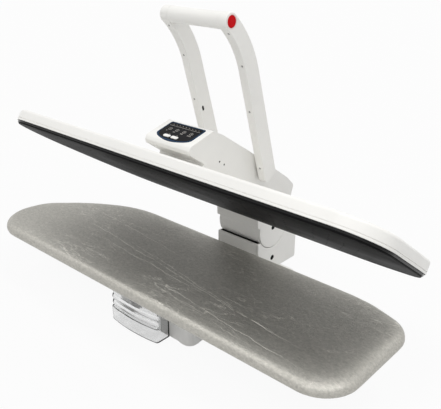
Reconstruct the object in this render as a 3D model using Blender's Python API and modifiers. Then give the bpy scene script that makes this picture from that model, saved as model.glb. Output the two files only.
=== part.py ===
"""Steam ironing press, standing open, as an assembly of separate pieces.

X runs along the board to the right, Y to the back and Z up. The origin lies on the
table, under the middle of the press. The head is drawn in its closed place, flat on
the board, and its pivot empty lifts it to the open rest position.
"""

import math

import bmesh
import bpy
from mathutils import Matrix, Vector

# Clearances
GAP = 0.0003
RUN_GAP = 0.0015
OVERRUN = 0.004
WELD = 0.000001

# Ironing board
BOARD_LEFT = -0.513
BOARD_RIGHT = 0.509
BOARD_WIDTH = 0.3035
BOARD_HEIGHT = 0.151
BOARD_THICK = 0.0285
FRONT_LEFT_RADIUS = 0.090
FRONT_RIGHT_RADIUS = 0.078
REAR_RIGHT_RADIUS = 0.062
REAR_RIGHT_CUT_LENGTH = 0.112
REAR_RIGHT_CUT_DEPTH = 0.037
REAR_RIGHT_SWEEP_RADIUS = 0.300
REAR_LEFT_CUT_LENGTH = 0.221
REAR_LEFT_SWEEP_RADIUS = 0.280
LEFT_KNEE_LENGTH = 0.0956
LEFT_KNEE_DEPTH = 0.0708
LEFT_KNEE_RADIUS = 0.430
NOSE_DEPTH = 0.1616
NOSE_RADIUS = 0.120
FABRIC = 0.0012
FABRIC_HEM = 0.016
EDGE_ROUND = 0.011
HEM_ROUND = 0.005
CROWN = 0.0015
CROWN_REACH = 0.017
TRAY_SHEET = 0.0012
TRAY_RIM = 0.009
PAD_ROUND = 0.004
RAIL_HEIGHT = 0.010
RAIL_WIDTH = 0.024
RAIL_LENGTH = 0.640
RAIL_SHEET = 0.0015
RAIL_FRONT_REACH = 0.115
RAIL_REAR_REACH = 0.235

# Base
BASE_LEFT = -0.130
BASE_RIGHT = 0.104
BASE_FRONT_REACH = 0.086
BASE_BLOCK_REAR_REACH = 0.300
BASE_CORNER = 0.020
LEG_CORNER = 0.0045
LEG_SOLID = 0.048
BASE_WALL = 0.003
BASE_LIFT = 0.0055
PILLAR_LIFT = 0.0045
PILLAR_FRONT_REACH = 0.0845
PILLAR_REAR_REACH = 0.130
PILLAR_WIDTH = 0.046
PILLAR_HEIGHT = 0.058
PILLAR_CORNER = 0.018
PLATFORM_FRONT_REACH = 0.219
PLATFORM_TAIL = 0.060
PLATFORM_TOP = 0.0427
PLATFORM_CORNER = 0.020
PLATFORM_MARGIN = 0.012
PLATE_SHEET = 0.0015
FOOT_RADIUS = 0.008
FOOT_TAPER = 0.001
FOOT_MARGIN = 0.014
FOOT_FRONT_REACH = 0.110
FOOT_REAR_REACH = 0.432
BAY_LEFT = -0.092
BAY_RIGHT = 0.012
BAY_REAR_REACH = 0.213

# Water tank
TANK_LEFT = -0.107
TANK_RIGHT = 0.041
TANK_FRONT_REACH = 0.046
TANK_BOW = 0.0055
TANK_STEP = 0.005
TANK_BELLY_HEIGHT = 0.036
TANK_BOTTOM = 0.005
TANK_TOP = 0.118
TANK_FASCIA_REAR_REACH = 0.0845
TANK_CORNER = 0.006
TANK_WALL = 0.0025
TANK_BODY_TOP = 0.1025
TANK_BODY_REAR_REACH = 0.205
TANK_RUNNER = 0.004
TANK_SIDE_GAP = 0.001
RIM_PROUD = 0.0025
RIM_HEIGHT = 0.006
LID_SHEET = 0.002
FILLER_RADIUS = 0.017
FILLER_REACH = 0.130
VALVE_X = -0.040
VALVE_HEIGHT = 0.024
VALVE_RADIUS = 0.0065
SOCKET_RADIUS = 0.011
SOCKET_LENGTH = 0.022

# Water and power inside the base
PUMP_RADIUS = 0.015
PUMP_LENGTH = 0.058
PUMP_X = 0.048
PUMP_SETBACK = 0.049
PUMP_SADDLE = 0.006
HOSE_RADIUS = 0.003
CIRCUIT_SHEET = 0.0016
POWER_BOARD_LENGTH = 0.070
POWER_BOARD_WIDTH = 0.050
POWER_BOARD_X = -0.095
POWER_BOARD_REACH = 0.360
POWER_RELAY = 0.018
STANDOFF_HEIGHT = 0.006
STANDOFF_RADIUS = 0.003
GLAND_RADIUS = 0.0075
GLAND_FLANGE = 0.0105
GLAND_BORE = 0.0035
GLAND_X = -0.100
GLAND_HEIGHT = 0.023
GLAND_PROUD = 0.007

# Hinge and column
HINGE_REACH = 0.416
HINGE_RISE = 0.008
OPEN_ANGLE = math.radians(35.5)
HEAD_HALF = 0.0645
CHEEK = 0.0057
BARREL_RADIUS = 0.052
BARREL_WALL = 0.0035
CHEEK_RADIUS = 0.0515
COLUMN_LEAD = 0.0565
COLUMN_TAIL = 0.096
COLUMN_WALL = 0.003
COLUMN_FRONT_DROP = 0.028
COLUMN_REAR_DROP = 0.013
COLUMN_CORNER = 0.010
COLUMN_FOOT_CORNER = 0.005
COLUMN_EDGE = 0.0015
SHAFT_RADIUS = 0.006
EAR_SHEET = 0.004
EAR_X = 0.036
EAR_HALF = 0.0135
EAR_FOOT_HALF = 0.026
EAR_FOOT_WIDTH = 0.016
EAR_TAPER_LOW = 0.018
EAR_TAPER_HIGH = 0.040
EAR_SWING = math.radians(17)
SWING_MARGIN = math.radians(3)
PLATE_X = 0.028
BUSH_WALL = 0.0027
BUSH_OVERHANG = 0.0008
SPRING_WIRE = 0.0020
SPRING_TURNS = 4
SPRING_LEG = 0.020
SWIVEL_RADIUS = 0.0105
SWIVEL_LENGTH = 0.016
SIDE_SCREW_DROP = 0.083
RECESS_RADIUS = 0.0036

# Head: cover and heated plate
COVER_OVERHANG = 0.006
COVER_LIFT = 0.008
COVER_WALL_HEIGHT = 0.027
COVER_SHEET = 0.0028
COVER_ROUND = 0.006
COVER_CROWN = 0.0010
COVER_CROWN_INSET = 0.024
GUARD_WIDTH = 0.0021
GUARD_HEIGHT = 0.012
GUARD_PROUD = 0.0045
HEATER_THICK = 0.008
HEATER_CHAMFER = 0.0012
PRESS_GAP = 0.0005
ELEMENT_RADIUS = 0.0035
ELEMENT_RIGHT = 0.395
ELEMENT_LEFT = -0.345
ELEMENT_FRONT_REACH = 0.048
ELEMENT_REAR_MARGIN = 0.0575
ELEMENT_TAIL = 0.060
ELEMENT_TURN_SHARE = 0.8
CHAMBER_HALF = 0.300
CHAMBER_FRONT_REACH = 0.075
CHAMBER_REAR_REACH = 0.218
CHAMBER_HEIGHT = 0.008
INLET_HALF = 0.006
INLET_DEPTH = 0.016
INLET_HEIGHT = 0.0095
SPINE_HALF = 0.380
SPINE_FRONT_REACH = 0.118
SPINE_REAR_REACH = 0.186
SPINE_HEIGHT = 0.0116
SPINE_SHEET = 0.002
THERMOSTAT_RADIUS = 0.010
THERMOSTAT_HEIGHT = 0.008
THERMOSTAT_X = 0.335
FUSE_RADIUS = 0.003
FUSE_LENGTH = 0.030
MOUNT_HALF = 0.045
MOUNT_FRONT_REACH = 0.105
MOUNT_REAR_REACH = 0.262
MOUNT_SHEET = 0.003
WINDOW_HALF = 0.050
WINDOW_REAR_REACH = 0.288

# Head: hinge plates and housing
PLATE_STEP = 0.0118
PLATE_BOSS = 0.018
PLATE_HEEL = 0.014
PLATE_NECK_REACH = 0.066
PLATE_BACK_REACH = 0.012
PLATE_BACK_RISE = 0.060
HOUSING_WALL = 0.003
HOUSING_EDGE = 0.0065
HOUSING_SEAT_EDGE_SHARE = 0.22
HOOD_LEDGE_REACH = 0.088
HOOD_LEDGE_RISE = 0.054
HOOD_FRONT_REACH = 0.040
HOOD_LIP_REACH = 0.033
HOOD_LIP_RISE = 0.059
PANEL_REACH = 0.042
PANEL_RISE = 0.082
PANEL_ANGLE = math.radians(50.2)
PANEL_FACE_LOW = 0.0175
PANEL_FACE_HIGH = 0.052
HOUSING_BROW_REACH = 0.108
HOUSING_BROW_RISE = 0.1265
HOUSING_TOP_RISE = 0.130
HOUSING_TOP_FRONT_REACH = 0.213
HOUSING_TOP_REAR_REACH = 0.388
HOUSING_BACK_REACH = 0.432
HOUSING_BACK_RISE = 0.102
HOUSING_BACK_ROUND = 0.022
NECK_LIP_LENGTH = 0.014
NECK_CHIN_RISE = 0.006
NECK_LIP_MARGIN = 0.0057
NECK_LIP_DROP = 0.012
VENT_REACH = 0.1305
VENT_PITCH = 0.0175
VENT_RISE = 0.075
VENT_RADIUS = 0.0017

# Control panel, in the plane of the sloping face
BEZEL_HALF = 0.0495
BEZEL_HIGH = 0.047
BEZEL_BREAK = 0.004
BEZEL_LOW = 0.017
BEZEL_CORNER = 0.004
BEZEL_BORDER = 0.0032
BEZEL_PROUD = 0.0008
BEZEL_DEPTH = 0.0026
LENS_PROUD = 0.0003
BUTTON_LENGTH = 0.018
BUTTON_WIDTH = 0.0085
BUTTON_PITCH = 0.0215
BUTTON_ROUND_SHARE = 0.6
BUTTON_MIDDLE_X = -0.005
BUTTON_V = -0.0035
BUTTON_PROUD = 0.0018
BUTTON_TRAVEL = 0.0008
POST_LENGTH = 0.0055
POST_RADIUS = 0.0014
POST_INSET = 0.006
SWITCH_SIZE = 0.006
SWITCH_HEIGHT = 0.0021

# Handle
LEVER_REACH = 0.2681
LEVER_RISE = 0.1174
ARM_ANGLE = math.radians(38.3)
ARM_STRAIGHT = 0.2345
ARM_BEND_RADIUS = 0.2273
ARM_BEND = math.radians(31.45)
ARM_HALF = 0.0200
ARM_TIP_HALF = 0.0172
ARM_HEEL_FRONT = 0.0345
ARM_HEEL_REAR = 0.022
ARM_HEEL_ROUND = 0.010
ARM_WIDTH = 0.020
ARM_GAP = 0.0055
ARM_EDGE = 0.0045
ARM_SOCKET_DEPTH = 0.013
LEVER_SHAFT_RADIUS = 0.006
LEVER_BOSS = 0.009
LEVER_WIRE = 0.0012
LEVER_TURNS = 5
SLOT_LENGTH = 0.009
SLOT_RADIUS = 0.0022
SLOT_DEPTH = 0.005
SLOT_SHARE = 0.575
GRIP_RADIUS = 0.0164
CORE_RADIUS = 0.0132
CORE_WALL = 0.0016
BUTTON_CAP_RADIUS = 0.013
BUTTON_CAP_DEPTH = 0.006
STEAM_TRAVEL = 0.003
STEAM_PROUD = 0.0010
STEM_RADIUS = 0.003
STEM_LENGTH = 0.020
RETURN_WIRE = 0.0006
RETURN_TURNS = 6
MICRO_LENGTH = 0.020
MICRO_HEIGHT = 0.010
MICRO_WIDTH = 0.0064
CAP_PROUD = 0.0015
CAP_DEPTH = 0.004

# Places that follow from the sizes
OVERALL_DEPTH = HINGE_REACH + COLUMN_TAIL
FRONT = -OVERALL_DEPTH / 2
HINGE_Y = FRONT + HINGE_REACH
HINGE_Z = BOARD_HEIGHT + HINGE_RISE
COLUMN_FRONT = HINGE_Y - COLUMN_LEAD
COLUMN_REAR = HINGE_Y + COLUMN_TAIL
COLUMN_BOTTOM = PLATFORM_TOP + GAP
BODY_HALF = HEAD_HALF - CHEEK - GAP
SEAT_RADIUS = BARREL_RADIUS + RUN_GAP
TRAY_BOTTOM = BOARD_HEIGHT - BOARD_THICK + FABRIC + GAP
BASE_TOP = TRAY_BOTTOM - GAP - RAIL_HEIGHT - GAP
BASE_FRONT = FRONT + BASE_FRONT_REACH
PLATFORM_LEFT = BASE_LEFT - PLATFORM_MARGIN
PLATFORM_RIGHT = BASE_RIGHT + PLATFORM_MARGIN
BASE_BLOCK_REAR = FRONT + BASE_BLOCK_REAR_REACH
PLATFORM_FRONT = FRONT + PLATFORM_FRONT_REACH
PLATFORM_REAR = COLUMN_REAR - PLATFORM_TAIL
PLATE_BOTTOM = BASE_LIFT + GAP
BAY_REAR = FRONT + BAY_REAR_REACH
COVER_BOTTOM = BOARD_HEIGHT + COVER_LIFT
COVER_SHOULDER = COVER_BOTTOM + COVER_WALL_HEIGHT
COVER_TOP = COVER_SHOULDER + COVER_CROWN
HEATER_BOTTOM = BOARD_HEIGHT + PRESS_GAP
HEATER_TOP = HEATER_BOTTOM + HEATER_THICK
GUARD_INSET = COVER_SHEET + GAP - COVER_OVERHANG
HEATER_INSET = GUARD_INSET + GUARD_WIDTH + GAP
CHAMBER_TOP = HEATER_TOP + GAP + CHAMBER_HEIGHT
SPINE_TOP = CHAMBER_TOP + GAP + SPINE_HEIGHT
MOUNT_TOP = SPINE_TOP + GAP + MOUNT_SHEET
HOUSING_BOTTOM = COVER_TOP + GAP
NECK_LIP_Y = HINGE_Y - BARREL_RADIUS - GAP - NECK_LIP_MARGIN
NECK_Y = NECK_LIP_Y - NECK_LIP_LENGTH
LEVER_Y = FRONT + LEVER_REACH
LEVER_Z = BOARD_HEIGHT + LEVER_RISE
ARM_INNER = HEAD_HALF + ARM_GAP
ARM_OUTER = ARM_INNER + ARM_WIDTH
KEY_DEPTH = BEZEL_DEPTH + POST_LENGTH - SWITCH_HEIGHT - BUTTON_TRAVEL
CORE_END = ARM_OUTER - BUTTON_CAP_DEPTH - STEAM_TRAVEL - GAP

PARTS = None
CUTTERS = None
PIVOTS = {}


def clear_scene():
    """Remove whatever the file holds and make the two collections."""
    global PARTS, CUTTERS
    for item in list(bpy.data.objects):
        bpy.data.objects.remove(item)
    PARTS = bpy.data.collections.new("steam_press")
    CUTTERS = bpy.data.collections.new("cutters")
    bpy.context.scene.collection.children.link(PARTS)
    bpy.context.scene.collection.children.link(CUTTERS)


def finish(name, colour, roughness, metallic=0.0, alpha=1.0):
    """A Principled material."""
    material = bpy.data.materials.new(name)
    material.use_nodes = True
    shader = material.node_tree.nodes["Principled BSDF"]
    shader.inputs["Base Color"].default_value = (*colour, 1.0)
    shader.inputs["Roughness"].default_value = roughness
    shader.inputs["Metallic"].default_value = metallic
    shader.inputs["Alpha"].default_value = alpha
    return material


def make_finishes():
    """Every finish that the press shows or holds inside."""
    return {
        "white": finish("white_plastic", (0.87, 0.87, 0.85), 0.32),
        "grey": finish("grey_plastic", (0.42, 0.42, 0.43), 0.45),
        "black": finish("black_plastic", (0.012, 0.012, 0.013), 0.35),
        "navy": finish("navy_plastic", (0.020, 0.045, 0.085), 0.30),
        "lens": finish("lens_black", (0.006, 0.006, 0.007), 0.12),
        "red": finish("red_plastic", (0.60, 0.004, 0.007), 0.35),
        "silver": finish("silver_fabric", (0.40, 0.39, 0.37), 0.38, 0.75),
        "foam": finish("foam", (0.80, 0.76, 0.62), 0.90),
        "steel": finish("zinc_steel", (0.55, 0.56, 0.57), 0.38, 1.0),
        "coating": finish("dark_coating", (0.055, 0.055, 0.058), 0.30, 0.2),
        "alloy": finish("cast_alloy", (0.62, 0.62, 0.61), 0.45, 1.0),
        "brass": finish("brass", (0.72, 0.52, 0.22), 0.30, 1.0),
        "clear": finish("clear_plastic", (0.70, 0.74, 0.76), 0.08, 0.0, 0.4),
        "rubber": finish("rubber", (0.03, 0.03, 0.03), 0.80),
        "hose": finish("hose_silicone", (0.75, 0.72, 0.66), 0.50),
        "circuit": finish("circuit_board", (0.02, 0.16, 0.06), 0.45),
    }


def pivot(name, place, parent=None, angle=0.0):
    """Empty on a joint's axis; place is where it is with the head closed."""
    empty = bpy.data.objects.new(name, None)
    empty.empty_display_size = SHAFT_RADIUS
    PARTS.objects.link(empty)
    origin = Vector(place)
    if parent is None:
        empty.location = origin
    else:
        empty.parent = PIVOTS[parent][0]
        empty.location = origin - PIVOTS[parent][1]
    empty.rotation_euler.x = angle
    PIVOTS[name] = (empty, origin)


def place(item, body, group):
    """Put an object drawn in closed coordinates on its body's pivot."""
    group.objects.link(item)
    if body:
        empty, origin = PIVOTS[body]
        item.parent = empty
        item.matrix_parent_inverse = Matrix.Translation(-origin)
    return item


def add_piece(name, mesh, material, body=None, smooth=True):
    """Make a mesh one named sub-part."""
    if smooth:
        mesh.shade_smooth()
        mesh.set_sharp_from_angle(angle=math.radians(35))
    mesh.materials.append(material)
    return place(bpy.data.objects.new(name, mesh), body, PARTS)


def add_cutter(name, mesh, body=None):
    """Make a mesh a hidden tool for the Boolean modifiers."""
    cutter = place(bpy.data.objects.new(name, mesh), body, CUTTERS)
    cutter.hide_render = True
    cutter.display_type = "WIRE"
    return cutter


def combine(piece, cutter, operation="DIFFERENCE"):
    """Boolean modifier that stays on the piece."""
    modifier = piece.modifiers.new(f"with_{cutter.name}", "BOOLEAN")
    modifier.operation = operation
    modifier.solver = "EXACT"
    modifier.object = cutter


def bevel(piece, width, segments=2, angle=50):
    """Round the sharp edges of a piece."""
    modifier = piece.modifiers.new("rounded_edges", "BEVEL")
    modifier.width = width
    modifier.segments = segments
    modifier.limit_method = "ANGLE"
    modifier.angle_limit = math.radians(angle)


def weigh_edges(mesh, weight_of):
    """Bevel weight for each edge, from the place of its middle."""
    weights = mesh.attributes.new("bevel_weight_edge", "FLOAT", "EDGE")
    for edge in mesh.edges:
        first, last = (mesh.vertices[index].co for index in edge.vertices)
        weights.data[edge.index].value = weight_of(first, last)


def thicken(piece, thickness):
    """Give an open surface its wall, on the inner side."""
    modifier = piece.modifiers.new("wall", "SOLIDIFY")
    modifier.thickness = thickness
    modifier.offset = -1
    modifier.use_even_offset = True
    modifier.use_quality_normals = True


def mesh_from(shape, name):
    """Close a bmesh and turn it into mesh data."""
    mesh = bpy.data.meshes.new(name)
    shape.to_mesh(mesh)
    shape.free()
    return mesh


def block_mesh(name, low, high):
    """Box between two corners."""
    shape = bmesh.new()
    bmesh.ops.create_cube(shape, size=1.0)
    low, high = Vector(low), Vector(high)
    bmesh.ops.scale(shape, vec=high - low, verts=shape.verts)
    bmesh.ops.translate(shape, vec=(low + high) / 2, verts=shape.verts)
    return mesh_from(shape, name)


def joined(name, meshes):
    """Several meshes as one, each still a body of its own."""
    whole = bmesh.new()
    for mesh in meshes:
        whole.from_mesh(mesh)
        bpy.data.meshes.remove(mesh)
    return mesh_from(whole, name)


def rod_mesh(name, start, end, radius, end_radius=None, sides=20):
    """Cylinder or cone from one point to another."""
    start, end = Vector(start), Vector(end)
    along = end - start
    turn = along.to_track_quat("Z", "Y").to_matrix().to_4x4()
    shape = bmesh.new()
    bmesh.ops.create_cone(
        shape,
        cap_ends=True,
        segments=sides,
        radius1=radius,
        radius2=radius if end_radius is None else end_radius,
        depth=along.length,
        matrix=Matrix.Translation((start + end) / 2) @ turn,
    )
    return mesh_from(shape, name)


def outline_mesh(name, points, low, high, side=False, matrix=None):
    """Flat outline given a thickness: along Z, or along X for a side profile."""
    curve = bpy.data.curves.new(f"{name}_outline", "CURVE")
    curve.dimensions = "2D"
    curve.fill_mode = "BOTH"
    curve.extrude = (high - low) / 2
    spline = curve.splines.new("POLY")
    spline.points.add(len(points) - 1)
    for point, (across, up) in zip(spline.points, points):
        point.co = (across, up, 0.0, 1.0)
    spline.use_cyclic_u = True
    guide = bpy.data.objects.new(f"{name}_guide", curve)
    CUTTERS.objects.link(guide)
    view = bpy.context.evaluated_depsgraph_get()
    mesh = bpy.data.meshes.new_from_object(guide.evaluated_get(view))
    bpy.data.objects.remove(guide)
    shape = bmesh.new()
    shape.from_mesh(mesh)
    bmesh.ops.remove_doubles(shape, verts=shape.verts, dist=WELD)
    flat = math.radians(0.5)
    bmesh.ops.dissolve_limit(shape, angle_limit=flat, verts=shape.verts, edges=shape.edges)
    shift = Matrix.Translation((0, 0, (low + high) / 2))
    if side:
        turn = Matrix(((0, 0, 1, 0), (1, 0, 0, 0), (0, 1, 0, 0), (0, 0, 0, 1)))
        shift = turn @ shift
    if matrix is not None:
        shift = matrix @ shift
    bmesh.ops.transform(shape, matrix=shift, verts=shape.verts)
    bmesh.ops.recalc_face_normals(shape, faces=shape.faces)
    shape.to_mesh(mesh)
    shape.free()
    return mesh


def open_face(mesh, direction):
    """Take away the flat faces that look in one direction."""
    shape = bmesh.new()
    shape.from_mesh(mesh)
    way = Vector(direction)
    gone = [face for face in shape.faces if face.normal.dot(way) > math.cos(math.radians(5))]
    bmesh.ops.delete(shape, geom=gone, context="FACES")
    shape.to_mesh(mesh)
    shape.free()
    return mesh


def rounded(corners, inset=0.0):
    """Closed outline with round corners (x, y, radius, steps), moved inwards."""
    points = []
    for index, (across, up, radius, steps) in enumerate(corners):
        here = Vector((across, up))
        before = Vector(corners[index - 1][:2])
        after = Vector(corners[(index + 1) % len(corners)][:2])
        arriving = (here - before).normalized()
        leaving = (after - here).normalized()
        left = Vector((-arriving.y, arriving.x))
        left_after = Vector((-leaving.y, leaving.x))
        corner = here + (left + left_after) * inset / (1 + left.dot(left_after))
        turn = math.atan2(arriving.cross(leaving), arriving.dot(leaving))
        bend = math.copysign(1, turn)
        reach = radius - inset * bend
        if steps == 0 or reach <= WELD:
            points.append(tuple(corner))
            continue
        start = corner - arriving * reach * math.tan(abs(turn) / 2)
        centre = start + left * reach * bend
        spoke = start - centre
        for step in range(steps + 1):
            spot = centre + Matrix.Rotation(turn * step / steps, 2) @ spoke
            points.append(tuple(spot))
    return points


def inset_points(points, distance):
    """Closed outline moved inwards by a wall."""
    return rounded([(across, up, 0.0, 0) for across, up in points], distance)


def arc(centre, radius, start, end, steps):
    """Points along a circle, both ends included."""
    turns = [start + (end - start) * step / steps for step in range(steps + 1)]
    return [
        (centre[0] + radius * math.cos(turn), centre[1] + radius * math.sin(turn))
        for turn in turns
    ]


def tangent_angle(point, centre, radius):
    """Where a line from a point behind the circle touches its rear side."""
    away = Vector(point) - Vector(centre)
    return math.atan2(away.y, away.x) - math.acos(radius / away.length)


def board_outline(inset):
    """Plan of the board: straight front, swept rear left, cut rear right."""
    rear = FRONT + BOARD_WIDTH
    corners = [
        (BOARD_LEFT, FRONT, FRONT_LEFT_RADIUS, 7),
        (BOARD_RIGHT, FRONT, FRONT_RIGHT_RADIUS, 7),
        (BOARD_RIGHT, rear - REAR_RIGHT_CUT_DEPTH, REAR_RIGHT_RADIUS, 5),
        (BOARD_RIGHT - REAR_RIGHT_CUT_LENGTH, rear, REAR_RIGHT_SWEEP_RADIUS, 2),
        (BOARD_LEFT + REAR_LEFT_CUT_LENGTH, rear, REAR_LEFT_SWEEP_RADIUS, 4),
        (BOARD_LEFT + LEFT_KNEE_LENGTH, rear - LEFT_KNEE_DEPTH, LEFT_KNEE_RADIUS, 2),
        (BOARD_LEFT, rear - NOSE_DEPTH, NOSE_RADIUS, 5),
    ]
    return rounded(corners, inset)


def loft_mesh(name, rings, close_bottom):
    """Rings of the board outline, (inset, height) each, joined and capped on top."""
    shape = bmesh.new()
    loops = []
    for inset, height in rings:
        loops.append([shape.verts.new((*spot, height)) for spot in board_outline(inset)])
    for lower, upper in zip(loops, loops[1:]):
        for index in range(len(lower)):
            after = (index + 1) % len(lower)
            shape.faces.new((lower[index], lower[after], upper[after], upper[index]))
    shape.faces.new(loops[-1])
    if close_bottom:
        shape.faces.new(list(reversed(loops[0])))
    return mesh_from(shape, name)


def edge_rings(inset, low, high, hem_round, edge_round):
    """Section of a padded edge, from its underside to its crowned top."""
    rings = []
    for step in range(3):
        angle = math.pi / 2 * step / 2
        across = inset + hem_round * (1 - math.sin(angle))
        rings.append((across, low + hem_round * (1 - math.cos(angle))))
    for step in range(4):
        angle = math.pi / 2 * step / 3
        across = inset + edge_round * (1 - math.cos(angle))
        rings.append((across, high - CROWN - edge_round * (1 - math.sin(angle))))
    rings.append((inset + CROWN_REACH, high))
    return rings


def tube_piece(name, points, radius, material, body=None, rounds=2):
    """Hose, rod or wire along a list of points."""
    curve = bpy.data.curves.new(name, "CURVE")
    curve.dimensions = "3D"
    curve.bevel_depth = radius
    curve.bevel_resolution = rounds
    curve.use_fill_caps = True
    spline = curve.splines.new("POLY")
    spline.points.add(len(points) - 1)
    for point, spot in zip(spline.points, points):
        point.co = (*spot, 1.0)
    spline.use_smooth = True
    curve.materials.append(material)
    return place(bpy.data.objects.new(name, curve), body, PARTS)


def smooth_route(points, steps):
    """Points of a smooth curve through the ones given."""
    spots = [Vector(point) for point in points]
    spots = [spots[0] * 2 - spots[1], *spots, spots[-1] * 2 - spots[-2]]
    route = []
    for index in range(1, len(spots) - 2):
        before, start, end, after = spots[index - 1:index + 3]
        for step in range(steps):
            share = step / steps
            first = (end - before) / 2
            last = (after - start) / 2
            route.append(
                start * (2 * share**3 - 3 * share**2 + 1)
                + first * (share**3 - 2 * share**2 + share)
                + end * (3 * share**2 - 2 * share**3)
                + last * (share**3 - share**2)
            )
    route.append(spots[-2])
    return [tuple(spot) for spot in route]


def coil_points(start_x, end_x, centre, radius, turns, leg, first_angle=0.0):
    """Wire of a spring wound round an axis along X, with a straight leg at each end."""
    count = turns * 10
    points = []
    for step in range(count + 1):
        angle = first_angle + math.tau * step / 10
        across = start_x + (end_x - start_x) * step / count
        points.append(Vector((
            across,
            centre[0] + radius * math.cos(angle),
            centre[1] + radius * math.sin(angle),
        )))
    if leg:
        head_way = Vector((0, math.sin(first_angle), -math.cos(first_angle)))
        tail_way = -head_way
        points.insert(0, points[0] + head_way * leg)
        points.append(points[-1] + tail_way * leg)
    return [tuple(point) for point in points]


def build_board(finishes):
    """Silver cover, foam pad, steel tray and the two rails under it."""
    low = BOARD_HEIGHT - BOARD_THICK
    rings = edge_rings(0.0, low, BOARD_HEIGHT, HEM_ROUND, EDGE_ROUND)
    rings.insert(0, (FABRIC_HEM, low))
    cover = add_piece("board_cover", loft_mesh("board_cover", rings, False), finishes["silver"])
    thicken(cover, FABRIC)

    tray_inset = HEM_ROUND
    points = board_outline(tray_inset)
    tray_mesh = outline_mesh("board_tray", points, TRAY_BOTTOM, TRAY_BOTTOM + TRAY_RIM)
    tray = add_piece("board_tray", open_face(tray_mesh, (0, 0, 1)), finishes["steel"])
    thicken(tray, TRAY_SHEET)

    pad_inset = tray_inset + TRAY_SHEET + GAP
    pad_low = TRAY_BOTTOM + TRAY_SHEET + GAP
    rings = edge_rings(pad_inset, pad_low, BOARD_HEIGHT - FABRIC - GAP, PAD_ROUND, PAD_ROUND)
    rings[0] = (pad_inset + PAD_ROUND, pad_low)
    add_piece("board_pad", loft_mesh("board_pad", rings, True), finishes["foam"])

    wall = Vector((-OVERRUN, RAIL_SHEET, RAIL_SHEET))
    rails = {"board_rail_front": RAIL_FRONT_REACH, "board_rail_rear": RAIL_REAR_REACH}
    for name, reach in rails.items():
        middle = FRONT + reach
        low_corner = Vector((-RAIL_LENGTH / 2, middle - RAIL_WIDTH / 2, BASE_TOP + GAP))
        high_corner = Vector((RAIL_LENGTH / 2, middle + RAIL_WIDTH / 2, TRAY_BOTTOM - GAP))
        mesh = block_mesh(name, low_corner, high_corner)
        rail = add_piece(name, mesh, finishes["steel"], smooth=False)
        hollow = block_mesh(f"{name}_hollow", low_corner + wall, high_corner - wall)
        combine(rail, add_cutter(f"{name}_hollow", hollow))


def round_rectangle(left, right, front, rear, corner, inset=0.0):
    """Rectangle with round corners, seen from above."""
    corners = [
        (left, front, corner, 4),
        (right, front, corner, 4),
        (right, rear, corner, 4),
        (left, rear, corner, 4),
    ]
    return rounded(corners, inset)


def pocket(name, left, right, front, rear, top, corner):
    """Cutter for a space that is open at the bottom of the base."""
    outline = round_rectangle(left, right, front, rear, corner)
    return add_cutter(name, outline_mesh(name, outline, PILLAR_LIFT - OVERRUN, top))


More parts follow.
